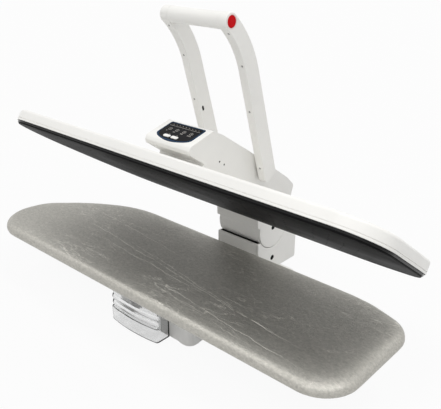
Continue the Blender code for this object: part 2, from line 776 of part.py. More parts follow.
def build_base(finishes):
    """Moulded base with the tank's bay, its legs and the platform of the column."""
    block = round_rectangle(BASE_LEFT, BASE_RIGHT, BASE_FRONT, BASE_BLOCK_REAR, BASE_CORNER)
    slab = round_rectangle(
        PLATFORM_LEFT,
        PLATFORM_RIGHT,
        PLATFORM_FRONT,
        PLATFORM_REAR,
        PLATFORM_CORNER,
    )
    chassis = add_piece(
        "base_chassis",
        outline_mesh("base_chassis", block, BASE_LIFT, BASE_TOP),
        finishes["white"],
    )
    slab_mesh = outline_mesh("base_slab", slab, BASE_LIFT, PLATFORM_TOP)
    combine(chassis, add_cutter("base_slab", slab_mesh), "UNION")
    for name, left, right in (
        ("left_pillar", BASE_LEFT - WELD, BAY_LEFT),
        ("right_pillar", BASE_RIGHT - PILLAR_WIDTH, BASE_RIGHT + WELD),
    ):
        outline = round_rectangle(
            left,
            right,
            FRONT + PILLAR_FRONT_REACH,
            FRONT + PILLAR_REAR_REACH,
            PILLAR_CORNER,
        )
        pillar = outline_mesh(name, outline, PILLAR_LIFT, PILLAR_LIFT + PILLAR_HEIGHT)
        combine(chassis, add_cutter(name, pillar), "UNION")

    roof = BASE_TOP - BASE_WALL
    shelf = BAY_REAR + BASE_WALL
    rear = BASE_BLOCK_REAR - BASE_WALL
    front = BASE_FRONT + LEG_SOLID
    for name, left, right in (
        ("left_leg_space", BASE_LEFT + BASE_WALL, BAY_LEFT - BASE_WALL),
        ("right_leg_space", BAY_RIGHT + BASE_WALL, BASE_RIGHT - BASE_WALL),
        ("rear_space", BASE_LEFT + BASE_WALL, BASE_RIGHT - BASE_WALL),
    ):
        near, far = (shelf, rear) if name == "rear_space" else (front, BAY_REAR)
        combine(chassis, pocket(name, left, right, near, far, roof, LEG_CORNER))
    combine(chassis, pocket(
        "platform_space",
        PLATFORM_LEFT + BASE_WALL,
        PLATFORM_RIGHT - BASE_WALL,
        PLATFORM_FRONT + BASE_WALL,
        PLATFORM_REAR - BASE_WALL,
        PLATFORM_TOP - BASE_WALL,
        PLATFORM_CORNER - BASE_WALL,
    ))
    bay = block_mesh(
        "tank_bay",
        (BAY_LEFT, BASE_FRONT - OVERRUN, PILLAR_LIFT - OVERRUN),
        (BAY_RIGHT, BAY_REAR, roof),
    )
    combine(chassis, add_cutter("tank_bay", bay))
    rail_high = TANK_BODY_TOP - TANK_WALL - GAP
    for name, left, right in (
        ("tank_rail_left", BAY_LEFT - BASE_WALL / 2, BAY_LEFT + TANK_RUNNER),
        ("tank_rail_right", BAY_RIGHT - TANK_RUNNER, BAY_RIGHT + BASE_WALL / 2),
    ):
        rail = block_mesh(
            name,
            (left, BASE_FRONT + LEG_CORNER, rail_high - TANK_RUNNER),
            (right, BAY_REAR + BASE_WALL / 2, rail_high),
        )
        combine(chassis, add_cutter(name, rail), "UNION")
    hole = rod_mesh(
        "socket_hole",
        (VALVE_X, BAY_REAR - OVERRUN, VALVE_HEIGHT),
        (VALVE_X, shelf + OVERRUN, VALVE_HEIGHT),
        SOCKET_RADIUS + GAP,
    )
    combine(chassis, add_cutter("socket_hole", hole))
    riser = rod_mesh(
        "riser_hole",
        (0, HINGE_Y, PLATFORM_TOP - BASE_WALL - OVERRUN),
        (0, HINGE_Y, PLATFORM_TOP + OVERRUN),
        HOSE_RADIUS + RUN_GAP,
    )
    combine(chassis, add_cutter("riser_hole", riser))
    gland = rod_mesh(
        "gland_hole",
        (GLAND_X, PLATFORM_REAR - BASE_WALL - OVERRUN, GLAND_HEIGHT),
        (GLAND_X, PLATFORM_REAR + OVERRUN, GLAND_HEIGHT),
        GLAND_RADIUS + GAP,
    )
    combine(chassis, add_cutter("gland_hole", gland))


def build_feet(finishes):
    """Bottom plate and the four rubber feet."""
    outline = round_rectangle(
        PLATFORM_LEFT,
        PLATFORM_RIGHT,
        PLATFORM_FRONT,
        PLATFORM_REAR,
        PLATFORM_CORNER,
        2 * BASE_WALL + GAP,
    )
    plate = outline_mesh("base_plate", outline, PLATE_BOTTOM, PLATE_BOTTOM + PLATE_SHEET)
    add_piece("base_plate", plate, finishes["steel"], smooth=False)
    front = FRONT + FOOT_FRONT_REACH
    rear = FRONT + FOOT_REAR_REACH
    spots = {
        "foot_front_left": (BASE_LEFT + FOOT_MARGIN, front, PILLAR_LIFT),
        "foot_front_right": (BASE_RIGHT - FOOT_MARGIN, front, PILLAR_LIFT),
        "foot_rear_left": (BASE_LEFT, rear, PLATE_BOTTOM),
        "foot_rear_right": (BASE_RIGHT, rear, PLATE_BOTTOM),
    }
    for name, (across, along, top) in spots.items():
        sole, crown = (across, along, 0), (across, along, top - GAP)
        foot = rod_mesh(name, sole, crown, FOOT_RADIUS - FOOT_TAPER, FOOT_RADIUS)
        add_piece(name, foot, finishes["rubber"])


def bow(left, right, reach, rise, steps):
    """Points of a shallow arc from left to right that bulges to the front."""
    half = (right - left) / 2
    radius = (half**2 + rise**2) / (2 * rise)
    centre = ((left + right) / 2, reach - rise + radius)
    spread = math.asin(half / radius)
    return arc(centre, radius, -math.pi / 2 - spread, -math.pi / 2 + spread, steps)


def fascia_outline(setback, inset=0.0):
    """Plan of the tank's front, which bulges towards the user."""
    front = FRONT + TANK_FRONT_REACH + setback
    rear = FRONT + TANK_FASCIA_REAR_REACH
    cut = TANK_CORNER * (1 - math.cos(math.pi / 4))
    middle = bow(TANK_LEFT + TANK_CORNER, TANK_RIGHT - TANK_CORNER, front, TANK_BOW, 8)
    points = [
        (TANK_LEFT, rear),
        (TANK_LEFT, front + TANK_CORNER),
        (TANK_LEFT + cut, front + cut),
        *middle,
        (TANK_RIGHT - cut, front + cut),
        (TANK_RIGHT, front + TANK_CORNER),
        (TANK_RIGHT, rear),
    ]
    return inset_points(points, inset) if inset else points


def build_tank(finishes):
    """Clear tank that slides into the base, with its lid and outlet valve."""
    rear = FRONT + TANK_BODY_REAR_REACH
    fascia_rear = FRONT + TANK_FASCIA_REAR_REACH
    left = BAY_LEFT + TANK_RUNNER + TANK_SIDE_GAP
    right = BAY_RIGHT - TANK_RUNNER - TANK_SIDE_GAP
    flange_reach = TANK_RUNNER
    belly_top = TANK_BOTTOM + TANK_BELLY_HEIGHT
    tank = add_piece(
        "water_tank",
        outline_mesh("water_tank", fascia_outline(0.0), TANK_BOTTOM, belly_top),
        finishes["clear"],
        "tank_runner",
    )
    upper = outline_mesh("tank_upper", fascia_outline(TANK_STEP), belly_top - TANK_WALL, TANK_TOP)
    combine(tank, add_cutter("tank_upper", upper, "tank_runner"), "UNION")
    rim = outline_mesh(
        "tank_rim",
        fascia_outline(TANK_STEP - RIM_PROUD),
        TANK_TOP - RIM_HEIGHT,
        TANK_TOP + WELD,
    )
    combine(tank, add_cutter("tank_rim", rim, "tank_runner"), "UNION")
    body = block_mesh(
        "tank_body",
        (left, fascia_rear - TANK_WALL, TANK_BOTTOM + WELD),
        (right, rear, TANK_BODY_TOP),
    )
    combine(tank, add_cutter("tank_body", body, "tank_runner"), "UNION")
    flange = block_mesh(
        "tank_flange",
        (left - flange_reach, fascia_rear - TANK_WALL, TANK_BODY_TOP - TANK_WALL),
        (right + flange_reach, rear + WELD, TANK_BODY_TOP + WELD),
    )
    combine(tank, add_cutter("tank_flange", flange, "tank_runner"), "UNION")

    hollow_top = TANK_BODY_TOP - TANK_WALL
    belly = outline_mesh(
        "belly_space",
        fascia_outline(0.0, TANK_WALL),
        TANK_BOTTOM + TANK_WALL,
        belly_top - TANK_WALL,
    )
    combine(tank, add_cutter("belly_space", belly, "tank_runner"))
    neck = outline_mesh(
        "upper_space",
        fascia_outline(TANK_STEP, TANK_WALL),
        belly_top - 2 * TANK_WALL,
        TANK_TOP - TANK_WALL,
    )
    combine(tank, add_cutter("upper_space", neck, "tank_runner"))
    passage = block_mesh(
        "passage_space",
        (left + TANK_WALL, fascia_rear - 2 * TANK_WALL, TANK_BOTTOM + TANK_WALL),
        (right - TANK_WALL, fascia_rear + 2 * TANK_WALL, hollow_top),
    )
    combine(tank, add_cutter("passage_space", passage, "tank_runner"))
    body_space = block_mesh(
        "body_space",
        (left + TANK_WALL, fascia_rear + TANK_WALL, TANK_BOTTOM + TANK_WALL),
        (right - TANK_WALL, rear - TANK_WALL, TANK_BODY_TOP + OVERRUN),
    )
    combine(tank, add_cutter("body_space", body_space, "tank_runner"))

    lid = add_piece(
        "tank_lid",
        block_mesh(
            "tank_lid",
            (left - flange_reach, fascia_rear + GAP, TANK_BODY_TOP + GAP),
            (right + flange_reach, rear, TANK_BODY_TOP + GAP + LID_SHEET),
        ),
        finishes["clear"],
        "tank_runner",
        smooth=False,
    )
    filler = rod_mesh(
        "filler_mouth",
        (VALVE_X, FRONT + FILLER_REACH, TANK_BODY_TOP - OVERRUN),
        (VALVE_X, FRONT + FILLER_REACH, TANK_BODY_TOP + LID_SHEET + OVERRUN),
        FILLER_RADIUS,
        sides=28,
    )
    combine(lid, add_cutter("filler_mouth", filler, "tank_runner"))
    add_piece(
        "tank_valve",
        rod_mesh(
            "tank_valve",
            (VALVE_X, rear + GAP, VALVE_HEIGHT),
            (VALVE_X, BAY_REAR - TANK_SIDE_GAP, VALVE_HEIGHT),
            VALVE_RADIUS + FOOT_TAPER,
            VALVE_RADIUS,
        ),
        finishes["grey"],
        "tank_runner",
    )


def build_water_path(finishes):
    """Valve socket, pump and the hoses that stay inside the base."""
    socket_front = BAY_REAR - TANK_SIDE_GAP / 2
    socket_rear = socket_front + SOCKET_LENGTH
    near, far = (VALVE_X, socket_front, VALVE_HEIGHT), (VALVE_X, socket_rear, VALVE_HEIGHT)
    mesh = rod_mesh("valve_socket", near, far, SOCKET_RADIUS)
    socket = add_piece("valve_socket", mesh, finishes["grey"])
    mouth = rod_mesh(
        "socket_mouth",
        (VALVE_X, socket_front - OVERRUN, VALVE_HEIGHT),
        (VALVE_X, socket_front + SOCKET_LENGTH / 3, VALVE_HEIGHT),
        VALVE_RADIUS + TANK_SIDE_GAP,
    )
    combine(socket, add_cutter("socket_mouth", mouth))

    floor = PLATE_BOTTOM + PLATE_SHEET
    axis_z = floor + GAP + PUMP_SADDLE + PUMP_RADIUS
    pump_y = BAY_REAR + PUMP_SETBACK
    near, far = PUMP_X - PUMP_LENGTH / 2, PUMP_X + PUMP_LENGTH / 2
    pump = add_piece(
        "water_pump",
        rod_mesh("water_pump", (near, pump_y, axis_z), (far, pump_y, axis_z), PUMP_RADIUS),
        finishes["grey"],
    )
    saddle = block_mesh(
        "pump_saddle",
        (near + PUMP_SADDLE, pump_y - PUMP_RADIUS, floor + GAP),
        (far - PUMP_SADDLE, pump_y + PUMP_RADIUS, axis_z),
    )
    combine(pump, add_cutter("pump_saddle", saddle), "UNION")

    suction = [
        (VALVE_X, socket_rear + GAP, VALVE_HEIGHT),
        (VALVE_X, socket_rear + SOCKET_RADIUS, VALVE_HEIGHT),
        (VALVE_X + SOCKET_RADIUS, pump_y, axis_z),
        (near - HOSE_RADIUS, pump_y, axis_z),
        (near - GAP, pump_y, axis_z),
    ]
    route = suction[:1] + smooth_route(suction[1:-1], 4) + suction[-1:]
    tube_piece("suction_hose", route, HOSE_RADIUS, finishes["hose"])
    duct = PLATFORM_TOP - BASE_WALL - 2 * HOSE_RADIUS
    feed = [
        (far + GAP, pump_y, axis_z),
        (far + HOSE_RADIUS, pump_y, axis_z),
        (far + PUMP_RADIUS, pump_y + PUMP_RADIUS / 2, axis_z),
        (far, pump_y + 2 * PUMP_RADIUS, duct),
        (PUMP_RADIUS, HINGE_Y - COLUMN_LEAD, duct - HOSE_RADIUS),
        (0, HINGE_Y - 3 * HOSE_RADIUS, duct - 2 * HOSE_RADIUS),
        (0, HINGE_Y - HOSE_RADIUS / 3, duct - HOSE_RADIUS / 2),
        (0, HINGE_Y, duct + HOSE_RADIUS),
        (0, HINGE_Y, PLATFORM_TOP + HINGE_RISE),
        (0, HINGE_Y, (PLATFORM_TOP + HINGE_Z) / 2),
        (0, HINGE_Y, HINGE_Z - SWIVEL_RADIUS - GAP),
    ]
    route = feed[:1] + smooth_route(feed[1:-1], 4) + feed[-1:]
    tube_piece("feed_hose", route, HOSE_RADIUS, finishes["hose"])


def build_electrics(finishes):
    """Power board on its standoffs, and the cable gland at the back."""
    floor = PLATE_BOTTOM + PLATE_SHEET + GAP
    middle_y = FRONT + POWER_BOARD_REACH
    low = floor + STANDOFF_HEIGHT + GAP
    half_width, half_length = POWER_BOARD_WIDTH / 2, POWER_BOARD_LENGTH / 2
    mesh = block_mesh(
        "power_board",
        (POWER_BOARD_X - half_width, middle_y - half_length, low),
        (POWER_BOARD_X + half_width, middle_y + half_length, low + CIRCUIT_SHEET),
    )
    board = add_piece("power_board", mesh, finishes["circuit"], smooth=False)
    root = low + CIRCUIT_SHEET / 2
    relay_top = low + CIRCUIT_SHEET + POWER_RELAY * 2 / 3
    relay = block_mesh(
        "power_relay",
        (POWER_BOARD_X - POWER_RELAY / 2, middle_y - POWER_RELAY / 2, root),
        (POWER_BOARD_X + POWER_RELAY / 2, middle_y + POWER_RELAY, relay_top),
    )
    combine(board, add_cutter("power_relay", relay), "UNION")
    inset = 2 * STANDOFF_RADIUS
    corners = [
        (POWER_BOARD_X + side * (half_width - inset), middle_y + end * (half_length - inset))
        for side in (-1, 1)
        for end in (-1, 1)
    ]
    legs = [
        rod_mesh("leg", (*spot, floor), (*spot, root), STANDOFF_RADIUS, sides=8)
        for spot in corners
    ]
    combine(board, add_cutter("power_board_legs", joined("power_board_legs", legs)), "UNION")
    inside = PLATFORM_REAR - BASE_WALL - GLAND_PROUD
    outside = PLATFORM_REAR + GLAND_PROUD
    near, far = (GLAND_X, inside, GLAND_HEIGHT), (GLAND_X, outside, GLAND_HEIGHT)
    mesh = rod_mesh("cable_gland", near, far, GLAND_RADIUS)
    gland = add_piece("cable_gland", mesh, finishes["black"])
    flange = rod_mesh(
        "gland_flange",
        (GLAND_X, PLATFORM_REAR + GAP, GLAND_HEIGHT),
        (GLAND_X, PLATFORM_REAR + GLAND_PROUD / 2, GLAND_HEIGHT),
        GLAND_FLANGE,
    )
    combine(gland, add_cutter("gland_flange", flange), "UNION")
    bore = rod_mesh(
        "gland_bore",
        (GLAND_X, inside - OVERRUN, GLAND_HEIGHT),
        (GLAND_X, PLATFORM_REAR + GLAND_PROUD + OVERRUN, GLAND_HEIGHT),
        GLAND_BORE,
        sides=12,
    )
    combine(gland, add_cutter("gland_bore", bore))


def column_outline(seat_radius):
    """Side profile of the column, with the round seat of the hinge barrel."""
    centre = (HINGE_Y, HINGE_Z)
    start = math.pi + math.asin(COLUMN_FRONT_DROP / seat_radius)
    end = math.tau - math.asin(COLUMN_REAR_DROP / seat_radius)
    seat = arc(centre, seat_radius, end, start, 16)
    crest = HINGE_Z - COLUMN_REAR_DROP
    corners = [
        (COLUMN_FRONT, COLUMN_BOTTOM, 0.0, 0),
        (COLUMN_REAR, COLUMN_BOTTOM, COLUMN_FOOT_CORNER, 3),
        (COLUMN_REAR, crest, COLUMN_CORNER, 4),
        *[(across, up, 0.0, 0) for across, up in seat],
        (COLUMN_FRONT, HINGE_Z - COLUMN_FRONT_DROP, 0.0, 0),
    ]
    return rounded(corners)


def sector_cutter(name, start, end, half, body=None, inner=None, outer=None):
    """Piece of a thick ring round the hinge axis, used to open a window."""
    centre = (HINGE_Y, HINGE_Z)
    inner = inner or BARREL_RADIUS - BARREL_WALL - OVERRUN
    outer = outer or SEAT_RADIUS + COLUMN_WALL + OVERRUN
    points = arc(centre, inner, end, start, 8) + arc(centre, outer, start, end, 8)
    return add_cutter(name, outline_mesh(name, points, -half, half, side=True), body)


def build_column(finishes):
    """Hollow column, its two side covers and the screws in them."""
    outline = column_outline(SEAT_RADIUS)
    body = add_piece(
        "column_body",
        outline_mesh("column_body", outline, -BODY_HALF, BODY_HALF, side=True),
        finishes["white"],
    )
    space = outline_mesh(
        "column_space",
        inset_points(outline, COLUMN_WALL),
        -BODY_HALF - OVERRUN,
        BODY_HALF + OVERRUN,
        side=True,
    )
    combine(body, add_cutter("column_space", space))
    wide = EAR_X + EAR_FOOT_WIDTH + RUN_GAP
    deep = EAR_FOOT_HALF + RUN_GAP
    foot = block_mesh(
        "column_foot_space",
        (-wide, HINGE_Y - deep, COLUMN_BOTTOM - OVERRUN),
        (wide, HINGE_Y + deep, COLUMN_BOTTOM + 2 * COLUMN_WALL),
    )
    combine(body, add_cutter("column_foot_space", foot))
    down = -math.pi / 2
    reach = EAR_SWING + SWING_MARGIN
    combine(body, sector_cutter("ear_window", down - reach, down + reach, EAR_X + EAR_SHEET))

    side_outline = column_outline(CHEEK_RADIUS + RUN_GAP)
    screw = (HINGE_Y, HINGE_Z - SIDE_SCREW_DROP)
    for side, name in ((-1, "column_side_left"), (1, "column_side_right")):
        low, high = sorted((side * (BODY_HALF + GAP), side * HEAD_HALF))
        mesh = outline_mesh(name, side_outline, low, high, side=True)
        cover = add_piece(name, mesh, finishes["white"])
        bevel(cover, COLUMN_EDGE, 1)
        recess = rod_mesh(
            f"{name}_recess",
            (low - OVERRUN, *screw),
            (high + OVERRUN, *screw),
            RECESS_RADIUS,
            sides=14,
        )
        combine(cover, add_cutter(f"{name}_recess", recess))


def build_hinge(finishes):
    """Steel ears on the base, the shaft, its bushes, springs and water swivel."""
    foot = COLUMN_BOTTOM
    centre = (HINGE_Y, HINGE_Z)
    root = foot + EAR_SHEET / 2
    ear_points = [
        (HINGE_Y - EAR_FOOT_HALF, root),
        (HINGE_Y + EAR_FOOT_HALF, root),
        (HINGE_Y + EAR_FOOT_HALF, foot + EAR_TAPER_LOW),
        (HINGE_Y + EAR_HALF, foot + EAR_TAPER_HIGH),
        *arc(centre, EAR_HALF, 0, math.pi, 10),
        (HINGE_Y - EAR_HALF, foot + EAR_TAPER_HIGH),
        (HINGE_Y - EAR_FOOT_HALF, foot + EAR_TAPER_LOW),
    ]
    shaft_end = BODY_HALF - GAP
    shaft_hole = rod_mesh("shaft_hole", (-shaft_end, *centre), (shaft_end, *centre), SHAFT_RADIUS + GAP)
    shaft_hole_cutter = add_cutter("shaft_hole", shaft_hole)
    wide = EAR_X + EAR_FOOT_WIDTH
    bracket = add_piece(
        "hinge_bracket",
        block_mesh(
            "hinge_bracket",
            (-wide, HINGE_Y - EAR_FOOT_HALF, foot),
            (wide, HINGE_Y + EAR_FOOT_HALF, foot + EAR_SHEET),
        ),
        finishes["steel"],
    )
    half = EAR_SHEET / 2
    ears = [
        outline_mesh("ear", ear_points, side * EAR_X - half, side * EAR_X + half, side=True)
        for side in (-1, 1)
    ]
    combine(bracket, add_cutter("bracket_ears", joined("bracket_ears", ears)), "UNION")
    combine(bracket, shaft_hole_cutter)
    hose_hole = rod_mesh(
        "bracket_hose_hole",
        (0, HINGE_Y, foot - OVERRUN),
        (0, HINGE_Y, foot + EAR_SHEET + OVERRUN),
        HOSE_RADIUS + RUN_GAP,
    )
    combine(bracket, add_cutter("bracket_hose_hole", hose_hole))
    add_piece(
        "hinge_shaft",
        rod_mesh("hinge_shaft", (-shaft_end, *centre), (shaft_end, *centre), SHAFT_RADIUS),
        finishes["steel"],
    )

    coil_radius = SHAFT_RADIUS + GAP + SPRING_WIRE
    inner = EAR_X + EAR_SHEET / 2 + SPRING_WIRE + GAP
    outer = BODY_HALF - SPRING_WIRE - GAP
    for side, name in ((-1, "counter_spring_left"), (1, "counter_spring_right")):
        near, far = side * inner, side * outer
        top = math.pi / 2
        coil = coil_points(near, far, centre, coil_radius, SPRING_TURNS, SPRING_LEG, top)
        tube_piece(name, coil, SPRING_WIRE, finishes["steel"], "head_pivot", 1)


def build_hinge_fittings(finishes):
    """Bushes in the head's plates, and the swivel that passes the water."""
    centre = (HINGE_Y, HINGE_Z)
    length = PLATE_X + EAR_SHEET + OVERRUN
    bore = add_cutter(
        "bush_bore",
        rod_mesh("bush_bore", (-length, *centre), (length, *centre), SHAFT_RADIUS + GAP),
        "head_pivot",
    )
    half = EAR_SHEET / 2 + BUSH_OVERHANG
    for side, name in ((-1, "hinge_bush_left"), (1, "hinge_bush_right")):
        near, far = side * PLATE_X - half, side * PLATE_X + half
        mesh = rod_mesh(name, (near, *centre), (far, *centre), SHAFT_RADIUS + GAP + BUSH_WALL)
        combine(add_piece(name, mesh, finishes["brass"], "head_pivot"), bore)
    near, far = (-SWIVEL_LENGTH / 2, *centre), (SWIVEL_LENGTH / 2, *centre)
    mesh = rod_mesh("water_swivel", near, far, SWIVEL_RADIUS)
    swivel = add_piece("water_swivel", mesh, finishes["brass"], "head_pivot")
    combine(swivel, bore)


def hinge_plate_outline():
    """Side profile of the hinge frame's cheeks, with the lever's boss."""
    heel = MOUNT_TOP - MOUNT_SHEET / 2
    step = heel + PLATE_STEP
    rear = FRONT + MOUNT_REAR_REACH - GAP
    toe = FRONT + MOUNT_FRONT_REACH + PLATE_HEEL
    return [
        (toe, heel),
        (rear, heel),
        (rear, step),
        (HINGE_Y - PLATE_NECK_REACH, step),
        *arc((HINGE_Y, HINGE_Z), PLATE_BOSS, math.radians(215), math.radians(365), 10),
        (HINGE_Y + PLATE_BACK_REACH, HINGE_Z + PLATE_BACK_RISE),
        *arc((LEVER_Y, LEVER_Z), LEVER_BOSS, math.radians(70), math.radians(200), 7),
        (toe, heel + PLATE_HEEL),
    ]


def build_hinge_frame(finishes):
    """Welded frame: a plate on the spine and two cheeks that carry both shafts."""
    frame = add_piece(
        "hinge_frame",
        block_mesh(
            "hinge_frame",
            (-MOUNT_HALF, FRONT + MOUNT_FRONT_REACH, SPINE_TOP + GAP),
            (MOUNT_HALF, FRONT + MOUNT_REAR_REACH, MOUNT_TOP),
        ),
        finishes["steel"],
        "head_pivot",
    )
    outline = hinge_plate_outline()
    half = EAR_SHEET / 2
    pair = [
        outline_mesh("cheek_plate", outline, side * PLATE_X - half, side * PLATE_X + half, side=True)
        for side in (-1, 1)
    ]
    combine(frame, add_cutter("frame_cheeks", joined("frame_cheeks", pair), "head_pivot"), "UNION")
    length = ARM_OUTER
    holes = (
        ("bush_seat", (HINGE_Y, HINGE_Z), SHAFT_RADIUS + BUSH_WALL + 2 * GAP),
        ("lever_seat", (LEVER_Y, LEVER_Z), LEVER_SHAFT_RADIUS + GAP),
    )
    for name, centre, radius in holes:
        mesh = rod_mesh(name, (-length, *centre), (length, *centre), radius)
        combine(frame, add_cutter(name, mesh, "head_pivot"))


def build_barrel(finishes):
    """Round barrel of the hinge, with windows for the ears and the plates."""
    centre = (HINGE_Y, HINGE_Z)
    barrel = add_piece(
        "hinge_barrel",
        rod_mesh("hinge_barrel", (-BODY_HALF, *centre), (BODY_HALF, *centre), BARREL_RADIUS, sides=48),
        finishes["white"],
        "head_pivot",
    )
    bore = rod_mesh(
        "barrel_bore",
        (-BODY_HALF - OVERRUN, *centre),
        (BODY_HALF + OVERRUN, *centre),
        BARREL_RADIUS - BARREL_WALL,
        sides=40,
    )
    combine(barrel, add_cutter("barrel_bore", bore, "head_pivot"))
    down = -math.pi / 2
    combine(barrel, sector_cutter(
        "ear_slot",
        down - EAR_SWING - SWING_MARGIN,
        down + EAR_SWING + OPEN_ANGLE + SWING_MARGIN,
        EAR_X + EAR_SHEET,
        "head_pivot",
    ))
    plate_window = sector_cutter(
        "plate_window",
        math.radians(62),
        math.radians(172),
        PLATE_X + EAR_SHEET,
        "head_pivot",
        outer=BARREL_RADIUS + HOUSING_WALL + 2 * OVERRUN,
    )
    combine(barrel, plate_window)
    for side, name in ((-1, "hinge_cheek_left"), (1, "hinge_cheek_right")):
        low, high = sorted((side * (BODY_HALF + GAP), side * HEAD_HALF))
        cheek = add_piece(
            name,
            rod_mesh(name, (low, *centre), (high, *centre), CHEEK_RADIUS, sides=48),
            finishes["white"],
            "head_pivot",
        )
        bevel(cheek, COLUMN_EDGE, 1)
        recess = rod_mesh(
            f"{name}_recess",
            (low - OVERRUN, *centre),
            (high + OVERRUN, *centre),
            RECESS_RADIUS,
            sides=14,
        )
        combine(cheek, add_cutter(f"{name}_recess", recess, "head_pivot"))
    return plate_window


def build_plate_stack(finishes):
    """Cover, heat guard, heated plate, steam chamber and what stiffens them."""
    rings = [(-COVER_OVERHANG, COVER_BOTTOM)]
    for step in range(4):
        angle = math.pi / 2 * step / 3
        across = COVER_ROUND * (1 - math.cos(angle)) - COVER_OVERHANG
        rings.append((across, COVER_SHOULDER - COVER_ROUND * (1 - math.sin(angle))))
    rings.append((COVER_CROWN_INSET - COVER_OVERHANG, COVER_TOP))
    mesh = loft_mesh("head_cover", rings, False)
    cover = add_piece("head_cover", mesh, finishes["white"], "head_pivot")
    thicken(cover, COVER_SHEET)
    window = block_mesh(
        "cover_window",
        (-WINDOW_HALF, FRONT + MOUNT_FRONT_REACH, MOUNT_TOP + GAP / 2),
        (WINDOW_HALF, FRONT + WINDOW_REAR_REACH, COVER_TOP + OVERRUN),
    )
    combine(cover, add_cutter("cover_window", window, "head_pivot"))

    guard_low = COVER_BOTTOM - GUARD_PROUD
    guard = add_piece(
        "heat_guard",
        outline_mesh("heat_guard", board_outline(GUARD_INSET), guard_low, guard_low + GUARD_HEIGHT),
        finishes["black"],
        "head_pivot",
    )
    space = outline_mesh(
        "guard_space",
        board_outline(GUARD_INSET + GUARD_WIDTH),
        guard_low - OVERRUN,
        guard_low + GUARD_HEIGHT + OVERRUN,
    )
    combine(guard, add_cutter("guard_space", space, "head_pivot"))
    heater = add_piece(
        "heater_plate",
        outline_mesh("heater_plate", board_outline(HEATER_INSET), HEATER_BOTTOM, HEATER_TOP),
        finishes["coating"],
        "head_pivot",
    )
    bevel(heater, HEATER_CHAMFER, 1)

    chamber = add_piece(
        "steam_chamber",
        outline_mesh(
            "steam_chamber",
            round_rectangle(
                -CHAMBER_HALF,
                CHAMBER_HALF,
                FRONT + CHAMBER_FRONT_REACH,
                FRONT + CHAMBER_REAR_REACH,
                BASE_CORNER,
            ),
            HEATER_TOP + GAP,
            CHAMBER_TOP,
        ),
        finishes["alloy"],
        "head_pivot",
    )
    inlet_rear = FRONT + CHAMBER_REAR_REACH - INLET_HALF
    inlet = block_mesh(
        "steam_inlet",
        (-INLET_HALF, inlet_rear - INLET_DEPTH, CHAMBER_TOP - INLET_HALF),
        (INLET_HALF, inlet_rear, CHAMBER_TOP + INLET_HEIGHT),
    )
    combine(chamber, add_cutter("steam_inlet", inlet, "head_pivot"), "UNION")
    spine_low = Vector((-SPINE_HALF, FRONT + SPINE_FRONT_REACH, CHAMBER_TOP + GAP))
    spine_high = Vector((SPINE_HALF, FRONT + SPINE_REAR_REACH, SPINE_TOP))
    mesh = block_mesh("head_spine", spine_low, spine_high)
    spine = add_piece("head_spine", mesh, finishes["steel"], "head_pivot", False)
    wall = Vector((-OVERRUN, SPINE_SHEET, SPINE_SHEET))
    hollow = block_mesh("spine_hollow", spine_low + wall, spine_high - wall)
    combine(spine, add_cutter("spine_hollow", hollow, "head_pivot"))


def build_heating(finishes):
    """Tubular element, thermostat, thermal fuse and the steam hose in the head."""
    height = HEATER_TOP + GAP + ELEMENT_RADIUS
    front = FRONT + ELEMENT_FRONT_REACH
    rear = FRONT + BOARD_WIDTH - ELEMENT_REAR_MARGIN
    radius = (rear - front) / 2
    middle = (rear + front) / 2
    right_turn = arc((ELEMENT_RIGHT, middle), radius, math.pi / 2, -math.pi / 2, 10)
    small = radius * ELEMENT_TURN_SHARE
    left_turn = arc((ELEMENT_LEFT, front + small), small, -math.pi / 2, -math.pi, 5)
    route = [(ELEMENT_TAIL, rear), *right_turn, *left_turn]
    tube_piece(
        "heating_element",
        [(across, along, height) for across, along in route],
        ELEMENT_RADIUS,
        finishes["steel"],
        "head_pivot",
        1,
    )
    spot = (THERMOSTAT_X, FRONT + BOARD_WIDTH / 2)
    near, far = (*spot, HEATER_TOP + GAP), (*spot, HEATER_TOP + THERMOSTAT_HEIGHT)
    mesh = rod_mesh("thermostat", near, far, THERMOSTAT_RADIUS)
    add_piece("thermostat", mesh, finishes["brass"], "head_pivot")
    low = HEATER_TOP + GAP + FUSE_RADIUS
    add_piece(
        "thermal_fuse",
        rod_mesh(
            "thermal_fuse",
            (-THERMOSTAT_X, FRONT + BOARD_WIDTH / 2, low),
            (-THERMOSTAT_X + FUSE_LENGTH, FRONT + BOARD_WIDTH / 2, low),
            FUSE_RADIUS,
            sides=12,
        ),
        finishes["steel"],
        "head_pivot",
    )
    inlet_rear = FRONT + CHAMBER_REAR_REACH - INLET_HALF
    hose_z = CHAMBER_TOP + INLET_HEIGHT - HOSE_RADIUS - GAP
    window_rear = FRONT + WINDOW_REAR_REACH
    steam_route = [
        (0, inlet_rear + GAP, hose_z),
        (0, inlet_rear + 2 * HOSE_RADIUS, hose_z),
        (0, window_rear - 8 * HOSE_RADIUS, hose_z + HOSE_RADIUS / 4),
        (0, window_rear - 2.5 * HOSE_RADIUS, MOUNT_TOP + HOSE_RADIUS),
        (0, window_rear + 3 * HOSE_RADIUS, COVER_TOP + 6 * HOSE_RADIUS),
        (0, HINGE_Y - BARREL_RADIUS, COVER_TOP + 7 * HOSE_RADIUS),
        (0, HINGE_Y - 3 * HOSE_RADIUS, HINGE_Z + 9 * HOSE_RADIUS),
        (0, HINGE_Y, HINGE_Z + SWIVEL_RADIUS + 2 * HOSE_RADIUS),
        (0, HINGE_Y, HINGE_Z + SWIVEL_RADIUS + GAP),
    ]
    route = steam_route[:1] + smooth_route(steam_route[1:-1], 4) + steam_route[-1:]
    tube_piece("steam_hose", route, HOSE_RADIUS, finishes["hose"], "head_pivot", 1)


